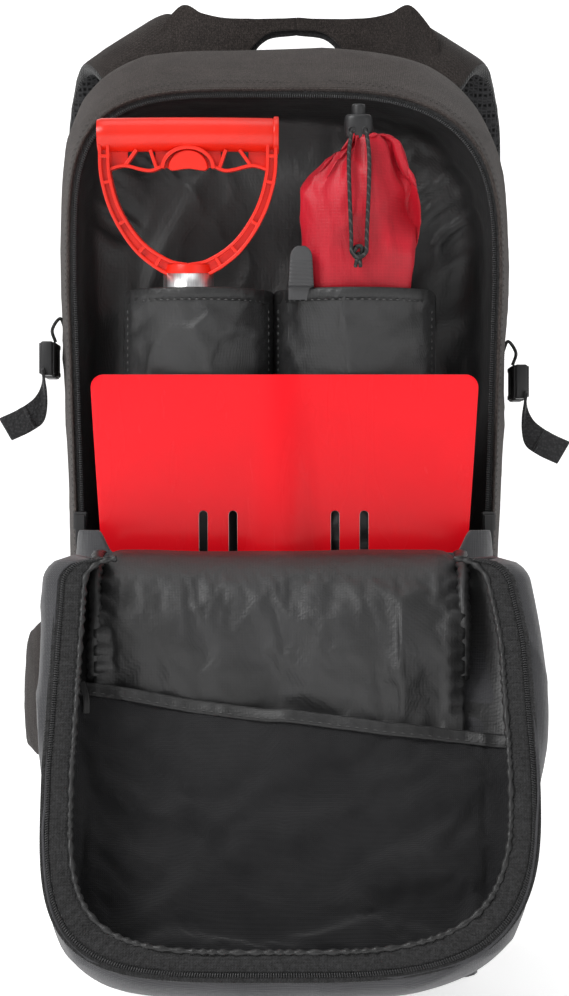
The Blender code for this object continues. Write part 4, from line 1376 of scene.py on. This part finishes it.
def pull_tab():
    """A ribbed rubber tab that leans out of the right sleeve."""
    lean_forward = radians(9)
    foot = Vector((0.0103, -0.0640, HEM_Z + 0.001))
    rows = []
    profile = spread(-0.008, 0.025, 56)
    for z in profile:
        half = lerp(0.0080, 0.0068, clamp(z / 0.021)) * sqrt(
            clamp(1 - max(0.0, (z - 0.0175) / 0.0079) ** 2.4, 0.02)
        )
        ridge = 0.0004 * sin(z * 2600) if 0.001 < z < 0.017 else 0.0
        row = []
        for step in range(28):
            angle = 2 * pi * step / 28
            x = half * copysign(abs(cos(angle)) ** 0.35, cos(angle))
            deep = (0.0013 + ridge) * copysign(abs(sin(angle)) ** 0.6, sin(angle))
            back = 0.004 if z < 0 else 0.0
            row.append(foot + Vector((x, deep - z * sin(lean_forward) + back, z * cos(lean_forward))))
        rows.append(row)
    rows.append(
        [sum(rows[-1], Vector()) / 28 + (point - sum(rows[-1], Vector()) / 28) * 0.2 for point in rows[-1]]
    )
    dressed(surface("ribbed_tab", rows, closed=True), "grey plastic", "pack", ("pull_tab",))


# ---- flap ----
FLAP_START = 0.010
FLAP_CORNER = 0.018
FLAP_HEART = 0.060
FLAP_SPREAD = 0.007


def flap_outline(half, end, low=FLAP_START, sides=40, arch=121):
    """(x, along) points round the flap, from the hinge at the left, round its end and back."""
    route = []
    for x, z in outline(half, HINGE_Z + end, HINGE_Z + low, sides, arch):
        along = z - HINGE_Z
        into = clamp(FLAP_CORNER + low - along, 0, FLAP_CORNER)
        tuck = FLAP_CORNER - sqrt(FLAP_CORNER**2 - into**2)
        route.append((flap_spread(x - copysign(tuck, x), along), along))
    return route


def flap_spread(x, along):
    """The open flap has slumped to the right, so that side spreads out."""
    return x + FLAP_SPREAD * ease(along / 0.08) * clamp(x / 0.1)


def corner_lift(along, rise):
    """The corners by the hinge are cut away towards the rim."""
    return 0.026 * (rise / FLAP_DEPTH) * max(0.0, 1 - along / (SPRING_Z - HINGE_Z))


def flap_foot(edge, rise, shares):
    """The floor's wedge between the hinge line and the heart, where its rings close to a point."""
    rows = []
    for share in shares:
        along = lerp(FLAP_HEART, edge[0][1], share)
        ends = edge[0][0] * share, edge[-1][0] * share
        rows.append([flap_point(x, rise, along) for x in spread(*ends, 41)])
    return surface("foot", rows)


def weld(obj):
    """Merges points that coincide and turns every face the same way."""
    made = bmesh.new()
    made.from_mesh(obj.data)
    bmesh.ops.remove_doubles(made, verts=made.verts, dist=0.0004)
    bmesh.ops.recalc_face_normals(made, faces=made.faces)
    made.to_mesh(obj.data)
    made.free()
    obj.data.shade_smooth()
    return obj


def flap_outer():
    """The smooth outer cloth of the flap, swelling out beyond its zip."""
    edge = flap_outline(RIM_HALF - 0.001, FLAP_LENGTH - 0.001)
    profile = [
        (1.0, 1.0, 0.0),
        (1.012, 0.97, 0.2),
        (1.03, 0.88, 0.7),
        (1.04, 0.72, 1.0),
        (1.035, 0.5, 1.0),
        (1.015, 0.28, 0.9)
    ]
    profile += [
        (0.985, 0.12, 0.7),
        (0.94, 0.02, 0.4),
        (0.86, 0.0, 0),
        (0.66, 0.0, 0),
        (0.44, 0.0, 0),
        (0.22, 0.0, 0),
        (0.0, 0.0, 0)
    ]
    route = spline(profile, 5)
    floor_shares = [share for share, height, _ in route if share < 0.861 and height < 0.001]
    rows = []
    for share, height, swell in route:
        row = []
        rise = FLAP_DEPTH * height
        for x, along in edge:
            lower = ease((along - 0.10) / 0.09)
            puff = swell * lerp(0.007, -0.001, lower) * (1 + 0.35 * roll((x, along, 0), 9, seed=4))
            reach = sqrt(x * x + along * along) or 1.0
            wide = lerp(share, min(share, 1.0), lower)
            place_x = x * wide + puff * x / reach
            place_along = lerp(FLAP_HEART, along, share) + puff * along / reach * ease(along / 0.1)
            row.append(flap_point(place_x, rise, place_along + corner_lift(along, rise) * min(1.0, share)))
        rows.append(row)
    shell = joined("flap_outer_cloth", [surface("walls", rows), flap_foot(edge, 0.0, floor_shares)])
    weld(shell)
    middle = flap_point(0, 0.03, 0.14)
    score = sum(p.normal.dot(p.center - middle) * p.area for p in shell.data.polygons)
    if score < 0:
        shell.data.flip_normals()
    ruffle(shell, lambda p: 0.0016 * roll(p, 13, seed=5) + 0.0011 * crease(p, 18, (1, 1, 1), 6, 3) - 0.0016)
    thicken(shell, 0.0014, -1)
    dressed(shell, "shell", "flap", ("flap_shell",))


def flap_rim(inset, rise, low=FLAP_START, arch=181):
    """A route round the flap's rim, lifted at the corners by the hinge."""
    route = []
    for x, along in flap_outline(RIM_HALF - inset, FLAP_LENGTH - inset, low, 60, arch):
        route.append(flap_point(x, rise, along + corner_lift(along, rise)))
    return route


def flap_zip():
    rise = FLAP_DEPTH - 0.0010
    edge, inner = flap_rim(0.0002, rise), flap_rim(0.0050, rise)
    face = FLAP_FACE
    tape = edge_band("flap_zip_tape", edge, inner, lambda share: 0.0)
    thicken(face_towards(tape, face), 0.0009, -1)
    material_on(tape, MATERIALS["binding"])
    coil = flap_rim(0.0030, FLAP_DEPTH - 0.0004)
    centre = flap_point(0, FLAP_DEPTH, 0.12)
    teeth = zip_teeth("flap_zip_teeth", coil, lambda point: face, lambda point: centre - point)
    material_on(teeth, MATERIALS["zip"])
    put(joined("flap_zip_chain", [tape, teeth]), "flap", ("flap_zip",))


def flap_binding():
    """The gathered tape that covers the raw edges inside the zip."""
    outer, inner = flap_rim(0.0052, FLAP_DEPTH - 0.0012), flap_rim(0.0165, FLAP_DEPTH - 0.0026)
    face = FLAP_FACE
    rows = []
    for share in spread(0, 1, 9):
        line = []
        for index, (a, b) in enumerate(zip(outer, inner)):
            pucker = 0.0011 * sin(pi * share) * (1 + 0.6 * sin(index * 2.1 + 3 * sin(index * 0.31)))
            ruck = 0.0016 * share**2 * roll((index * 0.06, share, 0), 3.0)
            line.append(a.lerp(b, share) + face * (pucker + ruck))
        rows.append(line)
    band = face_towards(surface("flap_binding_tape", rows), face)
    thicken(band, 0.0010, -1)
    dressed(band, "binding", "flap")
    edge = even_steps(flap_rim(0.0170, FLAP_DEPTH - 0.0022), 0.0014)
    routes = [point + face * (0.0008 * roll(point, 70)) for point in edge]
    radii = [
        0.0017 * (1 + 0.30 * sin(index * 1.25 + 2.2 * sin(index * 0.21))) for index in range(len(routes))
    ]
    dressed(tube("flap_binding_piping", routes, radii, 9), "lining binding", "flap")


LINING_LEFT, LINING_RIGHT = -0.112, 0.106


def flap_gussets():
    """The side walls and floor of the flap's inside."""
    edge = flap_outline(RIM_HALF - 0.0050, FLAP_LENGTH - 0.0050)
    floor = 0.062
    profile = [(1.0, 0.90, 0), (1.0, 0.6, 0), (0.99, 0.34, 0), (0.96, 0.15, 0), (0.90, floor, 0)]
    profile += [(0.6, floor, 0), (0.3, floor, 0), (0.0, floor, 0)]
    rows = []
    route = spline(profile, 7)
    for share, height, _ in route:
        rise = FLAP_DEPTH * height
        row = []
        for x, along in edge:
            row.append(flap_point(x * share, rise, lerp(FLAP_HEART, along, share) + corner_lift(along, rise)))
        rows.append(row)
    face = FLAP_FACE
    floor_shares = [share for share, _, _ in route if share < 0.901]
    walls = joined(
        "flap_inner_walls", [surface("walls", rows), flap_foot(edge, FLAP_DEPTH * floor, floor_shares)]
    )
    face_towards(weld(walls), face)
    ruffle(walls, lambda p: 0.0010 * crease(p, 15, (1, 1, 0.6), 11, 3) + 0.0004 * roll(p, 28, seed=3))
    dressed(walls, "lining", "flap")


def fold_lining():
    """The puffed lining that rolls out of the body over the fold and down into the flap."""
    inside = [(-0.0850, 0.2290), (-0.0870, 0.2410), (-0.0915, 0.2530), (-0.0985, 0.2622)]
    route = [Vector((0, y, z)) for y, z in inside]
    over = ((0.0120, 0.0090), (0.0190, 0.0180), (0.0350, 0.0260), (0.0560, 0.0275), (0.0780, 0.0215))
    over += ((0.0960, 0.0120), (0.1150, 0.0080), (0.1500, 0.0065))
    for along, rise in over:
        route.append(flap_point(0, rise, along))
    route = spline(route, 8)
    across = spread(LINING_LEFT, LINING_RIGHT, 110)
    rows = []
    for index, point in enumerate(route):
        share = index / (len(route) - 1)
        row = []
        for x in across:
            edge = min(x - LINING_LEFT, LINING_RIGHT - x) / 0.109
            tuck = (1 - clamp(edge / 0.16)) ** 2 * (1 - ease((share - 0.50) / 0.20))
            row.append(Vector((x, point.y, point.z)) + Vector((0, 0.010 * tuck, -0.006 * tuck * (1 - share))))
        rows.append(row)
    panel = face_towards(surface("fold_lining_cloth", rows), (0, -1, 0.3))

    def creased(point):
        edge = ease(min(point.x - LINING_LEFT, LINING_RIGHT - point.x) / 0.012)
        low = ease((0.232 - point.z) / 0.030) * ease((point.z - 0.160) / 0.02) * (point.y < -0.1)
        lean = point.x + 0.30 * abs(((point.x + 0.2) / 0.055) % 2 - 1) * (point.z - 0.19)
        folds = 0.0100 * crease((lean, 0, point.z * 0.12), 19, (1, 1, 1), 5, 1.6)
        gathers = 0.0018 * sin(point.z * 620) * (1 - edge)
        return edge * low * (folds - 0.002) + gathers + 0.0012 * roll(point, 20, seed=2)

    ruffle(panel, creased)

    def held(point):
        side = min(point.x - LINING_LEFT, LINING_RIGHT - point.x)
        return 1.0 if side < 0.003 or point.y > -0.098 else 0.05 + 0.9 * ease((point.z - 0.244) / 0.012)

    crumple(panel, held, 0.022, 12, 0.004)
    thicken(panel, 0.0008, -1)
    applied(panel)
    material_on(panel, MATERIALS["lining"])
    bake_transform(panel)
    for label, x in (("left", LINING_LEFT), ("right", LINING_RIGHT)):
        seam = []
        for point in even_steps(route, 0.0016):
            seam.append(
                Vector((x + 0.0010 * roll(point, 60, seed=x * 90), point.y + 0.0030, point.z - 0.001))
            )
        seam = [point for point in seam if point.y < -0.1015 and point.z > 0.188]
        wide = [0.0036 + 0.0006 * sin(index * 1.7) for index in range(len(seam))]
        rows = []
        for index, point in enumerate(seam):
            rows.append(
                [
                    point + Vector((wide[index] * cos(a), -0.0026 * sin(a), 0.0016 * sin(a)))
                    for a in spread(0, 2 * pi, 17)[:-1]
                ]
            )
        dressed(surface(f"flap_seam_{label}", rows, closed=True), "lining binding", "flap")


def flap_pocket():
    """The matte inner pocket: sewn to the walls all round, under the binding, its hem slanting across."""
    inset = 0.0075
    half, end = RIM_HALF - inset, HINGE_Z + FLAP_LENGTH - inset
    hem_left, hem_right = 0.366, 0.400
    rows = []
    columns = [copysign(abs(u) ** 0.8, u) for u in spread(-1, 1, 101)]
    for share in [1 - (1 - v) ** 1.5 for v in spread(0, 1, 80)]:
        row = []
        for across in columns:
            hem = lerp(hem_left, hem_right, (across + 1) / 2)
            z = lerp(hem, end, min(share, 0.9985))
            squareness = LEFT_SQUARENESS if across < 0 else RIGHT_SQUARENESS
            x = flap_spread(across * arch_half(z, half, end, squareness), z - HINGE_Z)
            side = 1 - abs(across) ** 22
            foot = 1 - share**20
            flat = clamp(side * foot)
            mouth = 0.0065 * (1 - share) ** 3 * (1 - across**2)
            rise = lerp(0.025, 0.0115, flat**0.7) + mouth
            row.append(flap_point(x, rise, z - HINGE_Z))
        rows.append(row)
    face = FLAP_FACE
    panel = face_towards(surface("flap_pocket_cloth", rows), face)
    border = FLAP_TURN.inverted()

    def inner(point):
        local = border @ point
        side = 1 - abs(local.x) / half
        return ease(side / 0.12) * ease((end - local.z) / 0.02)

    ruffle(
        panel,
        lambda p: inner(p) * (
            0.0030 * crease(p, 9, (1, 1, 1.3), 12, 3) + 0.0010 * roll(p, 15, seed=9) - 0.0014
        )
    )
    crumple(panel, lambda p: 1 - 0.96 * inner(p), 0.035, 14, 0.003)
    hem = [panel.data.vertices[index].co.copy() for index in range(len(columns))]
    thicken(panel, 0.0009, -1)
    dressed(panel, "pocket", "flap", ("flap_pocket",))
    down = FLAP_TURN.to_3x3() @ Vector((0, 0, 1))
    rows = []
    for index, point in enumerate(hem):
        swell = 1 + 0.22 * sin(index * 1.3 + sin(index * 0.5) * 2)
        oval = [(0.0042 * cos(a), 0.0012 * swell * sin(a)) for a in spread(0, 2 * pi, 15)[:-1]]
        rows.append([point + down * (low + 0.0030) + face * (high + 0.0006) for low, high in oval])
    thread_route = [point + down * 0.0052 + face * 0.0022 for point in hem[2:-2]]
    dressed(
        stitches("hem_stitches", thread_route, lambda point: face, 0.0032, 0.0022),
        "pale thread",
        "flap",
    )
    dressed(surface("flap_pocket_hem", rows, closed=True), "lining binding", "flap")
    top = hem[4] + face * 0.004
    hang = [
        top,
        top + Vector((0.003, -0.003, -0.012)),
        top + Vector((0.001, -0.001, -0.030)),
        top + Vector((-0.005, 0.000, -0.036))
    ]
    route = spline(hang, 8)
    loop = strap("flap_pocket_loop", route, [Vector((0.0018, 0, 0.0004))] * len(route), 0.0009)
    dressed(loop, "lining binding", "flap")


# ---- harness ----
def strap_stations(side):
    return [
        (Vector((side * 0.080, 0.0905, 0.540)), 14),
        (Vector((side * 0.088, 0.0960, 0.580)), 26),
        (Vector((side * 0.103, 0.1120, 0.606)), 33),
        (Vector((side * 0.113, 0.1360, 0.604)), 28),
        (Vector((side * 0.118, 0.1560, 0.570)), 14),
        (Vector((side * 0.120, 0.1660, 0.510)), 4),
        (Vector((side * 0.120, 0.1680, 0.440)), 0),
        (Vector((side * 0.120, 0.1680, 0.370)), 0),
        (Vector((side * 0.114, 0.1580, 0.310)), 0),
        (Vector((side * 0.106, 0.1380, 0.262)), 0),
    ]


def shoulder_strap(side, label):
    stations = strap_stations(side)
    route = spline([centre for centre, _ in stations], 10)
    tilts = [item.x for item in spline([Vector((tilt, 0, 0)) for _, tilt in stations], 10)]
    rows = []
    last = len(route) - 1
    count = 40
    for index, (point, tilt) in enumerate(zip(route, tilts)):
        across = Vector((side * cos(radians(tilt)), 0, -sin(radians(tilt))))
        out = across.cross(ahead_at(route, index)).normalized() * (-side)
        start_share = lerp(0.66, 1.0, clamp(index / 14))
        end_share = lerp(0.55, 1.0, clamp((last - index) / 14))
        wide = 0.034 * min(start_share, end_share)
        row = []
        for angle in circle(count):
            edge = copysign(abs(cos(angle)) ** 0.45, cos(angle))
            thick = 0.0060 * copysign(abs(sin(angle)) ** 0.55, sin(angle))
            row.append(point + across * wide * edge + out * thick)
        rows.append(row)
    for end in (0, -1):
        middle = sum(rows[end], Vector()) / count
        rows[end] = [middle + (point - middle) * 0.9 for point in rows[end]]
    body = cap_ends(surface(f"strap_{label}", rows, closed=True), count)
    material_on(body, MATERIALS["strap fabric"], MATERIALS["mesh"], MATERIALS["binding"])
    for number, polygon in enumerate(body.data.polygons):
        step = number % count
        angle = 2 * pi * (step + 0.5) / count
        polygon.material_index = 2 if abs(cos(angle)) > 0.90 else (1 if sin(angle) > 0 else 0)
    body.data.shade_smooth()
    ruffle(body, lambda p: 0.0008 * roll(p, 40, seed=side) + 0.0005 * crease(p, 50, seed=2))
    put(body, "pack", (f"shoulder_strap_{label}",))


LOOP_MIDDLE = 0.008


def yoke(side, label):
    """The cloth that joins each strap to the carry loop along the back's top edge."""
    y = BACK_Y + 0.0030
    low = [(0.000, 0.6120), (0.018, 0.6100), (0.030, 0.6000), (0.038, 0.586)]
    low += [(0.060, 0.572), (0.086, 0.552), (0.106, 0.535)]
    high = [(0.000, 0.6200), (0.020, 0.6195), (0.036, 0.6195), (0.050, 0.6210)]
    high += [(0.064, 0.6250), (0.078, 0.6310), (0.096, 0.612)]
    lower = spline([(x, 0, z) for x, z in low], 8)
    upper = spline([(x, 0, z) for x, z in high], 8)
    rows = []
    for share in spread(0, 1, 16):
        row = []
        for a, b in zip(lower, upper):
            p = a.lerp(b, share)
            row.append(
                Vector((LOOP_MIDDLE + side * p.x, y + 0.018 * ease(share) * clamp((p.x - 0.04) / 0.05), p.z))
            )
        rows.append(row)
    panel = face_towards(surface(f"yoke_{label}", rows), (0, -1, 0))
    ruffle(panel, lambda p: 0.0012 * crease(p, 30, (1, 1, 1), 4, 3) + 0.0008 * roll(p, 50))
    thicken(panel, 0.0034, 0)
    soften(panel, 0.0010, 3)
    dressed(panel, "strap fabric", "pack")


def haul_loop():
    foot = BACK_Y + 0.0041
    rise = [
        (-0.030, foot, 0.560),
        (-0.0275, foot + 0.001, 0.594),
        (-0.0145, foot + 0.002, 0.6105),
        (0.008, foot + 0.002, 0.6145)
    ]
    arch = spline(rise, 12)
    arch += [Vector((2 * LOOP_MIDDLE - point.x, point.y, point.z)) for point in reversed(arch[:-1])]
    across = []
    for index, point in enumerate(arch):
        ahead = arch[min(index + 1, len(arch) - 1)] - arch[max(index - 1, 0)]
        across.append(Vector((-ahead.z, 0, ahead.x)).normalized() * 0.0056)
    loop = strap("carry_loop", arch, across, 0.0030)
    dressed(loop, "webbing", "pack", ("haul_loop",))


SIDE_BUCKLES = ((-1, "left", 0.385), (1, "right", 0.370))


def side_buckles():
    """Side-release buckles seen edge on, with their keeper loops, and the webbing's folded free end."""
    for side, label, z in SIDE_BUCKLES:
        x = side * (half_at(z, BACK_HALF) + 0.0062)
        shells = [
            block(
                "socket_shell", (x - 0.0047, 0.022, z - 0.0118), (x + 0.0047, 0.049, z + 0.0118), 0.0024, 4
            ),
            block(
                "socket_bar", (x - 0.0022, 0.0495, z - 0.0105), (x + 0.0022, 0.0525, z + 0.0105), 0.0010, 3
            ),
        ]
        for rise in (-0.0090, 0.0090):
            low = (x - 0.0052, 0.026, z + rise - 0.0016)
            shells.append(block("socket_rib", low, (x + 0.0052, 0.046, z + rise + 0.0016), 0.0007, 2))
        dressed(
            joined(f"side_socket_{label}", shells),
            "black plastic",
            "pack",
            (f"side_buckle_socket_{label}",)
        )
        plug_parts = [
            block(
                "plug_frame", (x - 0.0040, 0.0002, z - 0.0110), (x + 0.0040, 0.0060, z + 0.0110), 0.0014, 3
            ),
            block("plug_arm", (x - 0.0028, 0.0050, z + 0.0070), (x + 0.0028, 0.0200, z + 0.0108), 0.0010, 3),
            block("plug_arm", (x - 0.0028, 0.0050, z - 0.0108), (x + 0.0028, 0.0200, z - 0.0070), 0.0010, 3),
            block(
                "plug_middle", (x - 0.0022, 0.0050, z - 0.0040), (x + 0.0022, 0.0190, z + 0.0040), 0.0009, 3
            ),
        ]
        for deep in (0.0018, 0.0044):
            low = (x - 0.0050, deep - 0.0006, z - 0.0100)
            plug_parts.append(block("plug_rib", low, (x + 0.0050, deep + 0.0006, z + 0.0100), 0.0005, 2))
        dressed(
            joined(f"side_plug_{label}", plug_parts),
            "black plastic",
            f"side_plug_{label}",
            (f"side_buckle_plug_{label}",)
        )
        hang = [(side * 0.1560, 0.0010, z - 0.006), (side * 0.1545, -0.0060, z - 0.020)]
        hang += [(side * 0.1570, -0.0110, z - 0.033), (side * 0.1660, -0.0130, z - 0.0405)]
        hang += [(side * 0.1785, -0.0140, z - 0.0465)]
        route = spline(hang, 8)
        last = len(route) - 1
        edges = []
        for index in range(len(route)):
            turn = ease(index / last * 1.6)
            flat = Vector((side * 0.0040, -0.0010, 0.0070))
            edges.append(Vector((side * 0.0005, 0.0078, 0.0018)).lerp(flat, turn))
        tail = strap("tail", route, edges, 0.0017)
        folded = strap("fold", [p + Vector((0, -0.0018, 0)) for p in route[-11:]], edges[-11:], 0.0019)
        bar = tube(
            "fold_ridge",
            [route[-11] + edges[-11] * s + Vector((0, -0.0022, 0)) for s in (-0.96, 0, 0.96)],
            0.0012,
            8
        )
        dressed(
            joined(f"side_tail_strap_{label}", [tail, folded, bar]),
            "webbing",
            f"side_plug_{label}",
            (f"side_tail_{label}",)
        )
        anchor = Vector((x - side * 0.0035, 0.026, z + 0.0118))
        loop = [
            anchor,
            anchor + Vector((side * 0.002, -0.002, 0.008)),
            anchor + Vector((-side * 0.003, 0, 0.0155))
        ]
        loop += [anchor + Vector((-side * 0.0062, 0.004, 0.008))]
        keeper = tube(f"side_keeper_{label}", spline(loop, 8), 0.0011, 8)
        dressed(keeper, "cord", "pack")


def pads():
    face = BACK_Y + FABRIC + 0.0005
    for name, low, high in (
        ("back_pad_upper", (-0.044, face, 0.290), (0.044, face + 0.014, 0.530)),
        ("back_pad_lumbar", (-0.078, face, 0.060), (0.078, face + 0.018, 0.230)),
    ):
        low, high = Vector(low), Vector(high)
        pad = block(
            f"{name}_cloth", low + Vector((0.002, 0, 0.002)), high - Vector((0.002, 0.003, 0.002)), 0.006, 4
        )
        puffed(pad, 0.005, 4.0, 0.004)
        ruffle(
            pad, lambda p: -0.0030 * abs(cos(pi * p.z / 0.040)) ** 14 * ease((p.y - BACK_Y - 0.006) / 0.006)
        )
        dressed(pad, "mesh", "pack", (name,))


# ---- panels, belt and cable ----
def front_point(share, z):
    """The lower front panel: share 0 at the left rim, 1 at the right."""
    half = half_at(z, RIM_HALF) - FABRIC / 2
    tuck = 1 - 0.14 * (1 - min(1.0, z / 0.05)) ** 2
    depth = (RIM_Y - 0.001 - FRONT_Y) * tuck
    angle = pi * (1 - share)
    x = half * copysign(abs(cos(angle)) ** (2 / 4.5), cos(angle))
    return Vector((x, RIM_Y - 0.001 - depth * sin(angle) ** (2 / 4.5), z))


def lower_front():
    """The outer cloth below the fold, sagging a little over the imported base."""
    shares = [0.5 - 0.5 * cos(pi * t) for t in spread(0, 1, 161)]
    low, high = 0.004, HINGE_Z - 0.0085
    rows = []
    for z in spread(low, high, 90):
        row = []
        for share in shares:
            point = front_point(share, z)
            back = (point.y - FRONT_Y) / FLAP_DEPTH
            corner = 0.0135 * ease((abs(point.x) - 0.105) / 0.010) * (1 - ease((back - 0.40) / 0.20))
            row.append(point + Vector((0, 0, corner * ease((z - 0.215) / (high - 0.215)))))
        rows.append(row)
    panel = face_towards(surface("lower_front_cloth", rows), (0, -1, 0))

    def sag(point):
        inside = ease((point.z - 0.004) / 0.03) * ease((0.262 - point.z) / 0.02)
        return -inside * (0.0022 * crease(point, 14, (1, 1, 1.4), 3, 3) + 0.0012 * roll(point, 12))

    ruffle(panel, sag)
    thicken(panel, FABRIC, -1)
    dressed(panel, "shell", "pack", ("lower_front_panel",))


def back_cloth():
    """The flat back, with its moulded mesh face turned to the wearer."""
    half, top, y = BACK_HALF - 0.0015, BACK_TOP - 0.0015, BACK_Y + 0.0006
    rows = []
    for z in [lerp(0.004, top, 1 - (1 - share) ** 1.8) for share in spread(0, 0.9995, 120)]:
        row = []
        for across in spread(-1, 1, 90):
            squareness = LEFT_SQUARENESS if across < 0 else RIGHT_SQUARENESS
            row.append(Vector((across * arch_half(z, half, top, squareness), y, z)))
        rows.append(row)
    panel = face_towards(surface("back_cloth", rows), (0, 1, 0))
    ruffle(panel, lambda p: 0.0007 * roll(p, 22) * ease(abs(p.x) / 0.09))
    thicken(panel, 0.0018, 1)
    dressed(panel, "mesh", "pack", ("back_panel",))


def hip_wing(side, label):
    """A padded belt wing, crowned across its width and curving round to the wearer's side."""
    stops = [(0.120, 0.0914, 0.160), (0.150, 0.0944, 0.160), (0.165, 0.107, 0.163), (0.175, 0.138, 0.160)]
    stops += [(0.173, 0.172, 0.155), (0.158, 0.206, 0.150)]
    route = spline([(side * x, y, z) for x, y, z in stops], 10)
    last = len(route) - 1
    count = 44
    rows = []
    for index, point in enumerate(route):
        share = index / last
        high = lerp(0.059, 0.026, ease(share)) * (1 - 0.35 * max(0.0, (share - 0.9) / 0.1) ** 2)
        out = ahead_at(route, index).cross(Vector((0, 0, 1))).normalized()
        row = []
        for angle in circle(count):
            tall = high * copysign(abs(sin(angle)) ** 0.7, sin(angle))
            thick = 0.0062 * copysign(abs(cos(angle)) ** 0.55, cos(angle))
            row.append(point + out * thick + Vector((0, 0, tall)))
        rows.append(row)
    for end in (0, -1):
        middle = sum(rows[end], Vector()) / count
        rows[end] = [middle + (point - middle) * 0.92 for point in rows[end]]
    wing = cap_ends(surface(f"hip_wing_{label}_pad", rows, closed=True), count)
    ruffle(wing, lambda p: 0.0010 * roll(p, 24) + 0.0007 * crease(p, 30, seed=side))
    dressed(wing, "strap fabric", f"hip_{label}", (f"hip_wing_{label}",))


def harness_buckle(name, body, centre, half, heading):
    """A side-release buckle half: a shell with grip ribs, a sunk window and the bar the webbing goes round."""
    wide, deep, high = half
    parts = [block("shell", (-wide, -deep, -high), (wide * 0.55, deep, high), deep * 0.55, 4)]
    parts.append(
        block(
            "bar", (wide * 0.78, -deep * 0.55, -high * 0.95), (wide, deep * 0.55, high * 0.95), deep * 0.3, 3
        )
    )
    for rise in (-0.86, 0.86):
        low = (wide * 0.45, -deep * 0.6, rise * high - high * 0.13)
        parts.append(block("arm", low, (wide * 0.95, deep * 0.6, rise * high + high * 0.13), deep * 0.3, 3))
    for share in (-0.75, -0.60, -0.45, -0.30):
        rib = (wide * share - wide * 0.035, -deep * 1.08, -high * 0.8)
        parts.append(
            block("rib", rib, (wide * share + wide * 0.035, deep * 1.08, high * 0.8), wide * 0.03, 2)
        )
    for rise in (-0.32, 0.32):
        low = (wide * 0.05, -deep * 1.1, rise * high - high * 0.06)
        parts.append(
            block("window_edge", low, (wide * 0.45, deep * 1.1, rise * high + high * 0.06), deep * 0.12, 2)
        )
    made = joined(name, parts)
    turn = Matrix.Rotation(heading, 4, "Z")
    made.data.transform(Matrix.Translation(centre) @ turn)
    dressed(made, "black plastic", body, (name.replace("_shape", ""),))


def harness_buckles():
    """Each half takes the place and size of its solid."""
    halves = (
        ("sternum_buckle_socket", "sternum_left", pi),
        ("sternum_buckle_plug", "sternum_right", 0.0),
        ("hip_buckle_socket", "hip_left", pi),
        ("hip_buckle_plug", "hip_right", 0.0),
    )
    for name, body, heading in halves:
        low, high = [Vector(corner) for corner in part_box(name)]
        size = (high - low) / 2
        half = (size.x, size.y * 0.9, size.z)
        harness_buckle(f"{name}_shape", body, (low + high) / 2, half, heading)


def airbag():
    """The folded airbag, swollen a little by the cloth packed in it."""
    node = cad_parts["airbag_folded"]
    folded = mesh_object("airbag_cloth", [node.matrix_world @ vertex.co for vertex in node.data.vertices],
                         [tuple(polygon.vertices) for polygon in node.data.polygons])
    puffed(folded, 0.006, 2.0, 0.002)
    ruffle(folded, lambda p: 0.0016 * crease(p, 40, (1, 1, 1), 3, 2) - 0.0014)
    dressed(folded, "airbag", "pack", ("airbag_folded",))


def trigger_cable():
    """The release cable: inside the left strap, over the shoulder and down to the valve."""
    stations = [centre for centre, _ in strap_stations(-1)]
    inside = spline(stations, 6)
    anchor = Vector((-0.120, 0.1680 + 0.012 / 2 + 0.0005 + 0.0030, 0.506))
    route = [anchor, anchor + Vector((0, -0.002, 0.012))]
    route += [point for point in reversed(inside) if point.z > 0.540 and point.y > 0.10]
    route += [
        Vector((-0.0880, 0.0800, 0.5800)),
        Vector((-0.0865, 0.0600, 0.5600)),
        Vector((-0.0780, 0.0480, 0.5000))
    ]
    route += [
        Vector((-0.0400, 0.0440, 0.4300)), Vector((0.0000, 0.0440, 0.3850)), Vector((0.0105, 0.0440, 0.3790))
    ]
    housing = tube("trigger_cable_housing", spline(route, 4), 0.0022, 12)
    dressed(housing, "black plastic", "pack", ("trigger_cable",))


stage()
camera()
probe_cord()
outer_shell()
lining_tub()
rim_welt()
body_zip()
top_stitching()
sleeves()
shovel_blade()
grip()
probe_bag()
cord_lock()
pull_tab()
flap_outer()
flap_zip()
flap_binding()
flap_gussets()
fold_lining()
flap_pocket()
for strap_side, strap_label in ((-1, "left"), (1, "right")):
    shoulder_strap(strap_side, strap_label)
    yoke(strap_side, strap_label)
    hip_wing(strap_side, strap_label)
haul_loop()
harness_buckles()
airbag()
trigger_cable()
side_buckles()
pads()
lower_front()
back_cloth()

CAD_LOOKS = {
    "base_panel": "shell",
    "zip_slider_left": "black plastic",
    "zip_slider_right": "black plastic",
    "zip_pull_left": "black plastic",
    "zip_pull_right": "black plastic",
    "shaft_upper": "metal",
    "shaft_lower": "metal",
    "shaft_button": "steel",
    "probe_poles": "metal",
    "gas_cylinder": "metal",
    "valve_body": "metal",
    "valve_pin": "steel",
    "gauge_dial": "dial",
    "gauge_needle": "black plastic",
    "ejector": "black plastic",
    "trigger_handle": "trigger",
    "lower_webbing_left": "webbing",
    "lower_webbing_right": "webbing",
    "sternum_webbing_left": "webbing",
    "sternum_webbing_right": "webbing",
    "hip_webbing_left": "webbing",
    "hip_webbing_right": "webbing",
    "frame_sheet": "sheet plastic",
}


def finish_frame_nodes():
    """The nodes shown as they are get the finished materials too."""
    for name, look in CAD_LOOKS.items():
        material_on(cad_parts[name], MATERIALS[look])
        if look in ("webbing", "shell", "black plastic", "trigger", "steel"):
            soften(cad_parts[name], 0.0004, 2)


finish_frame_nodes()
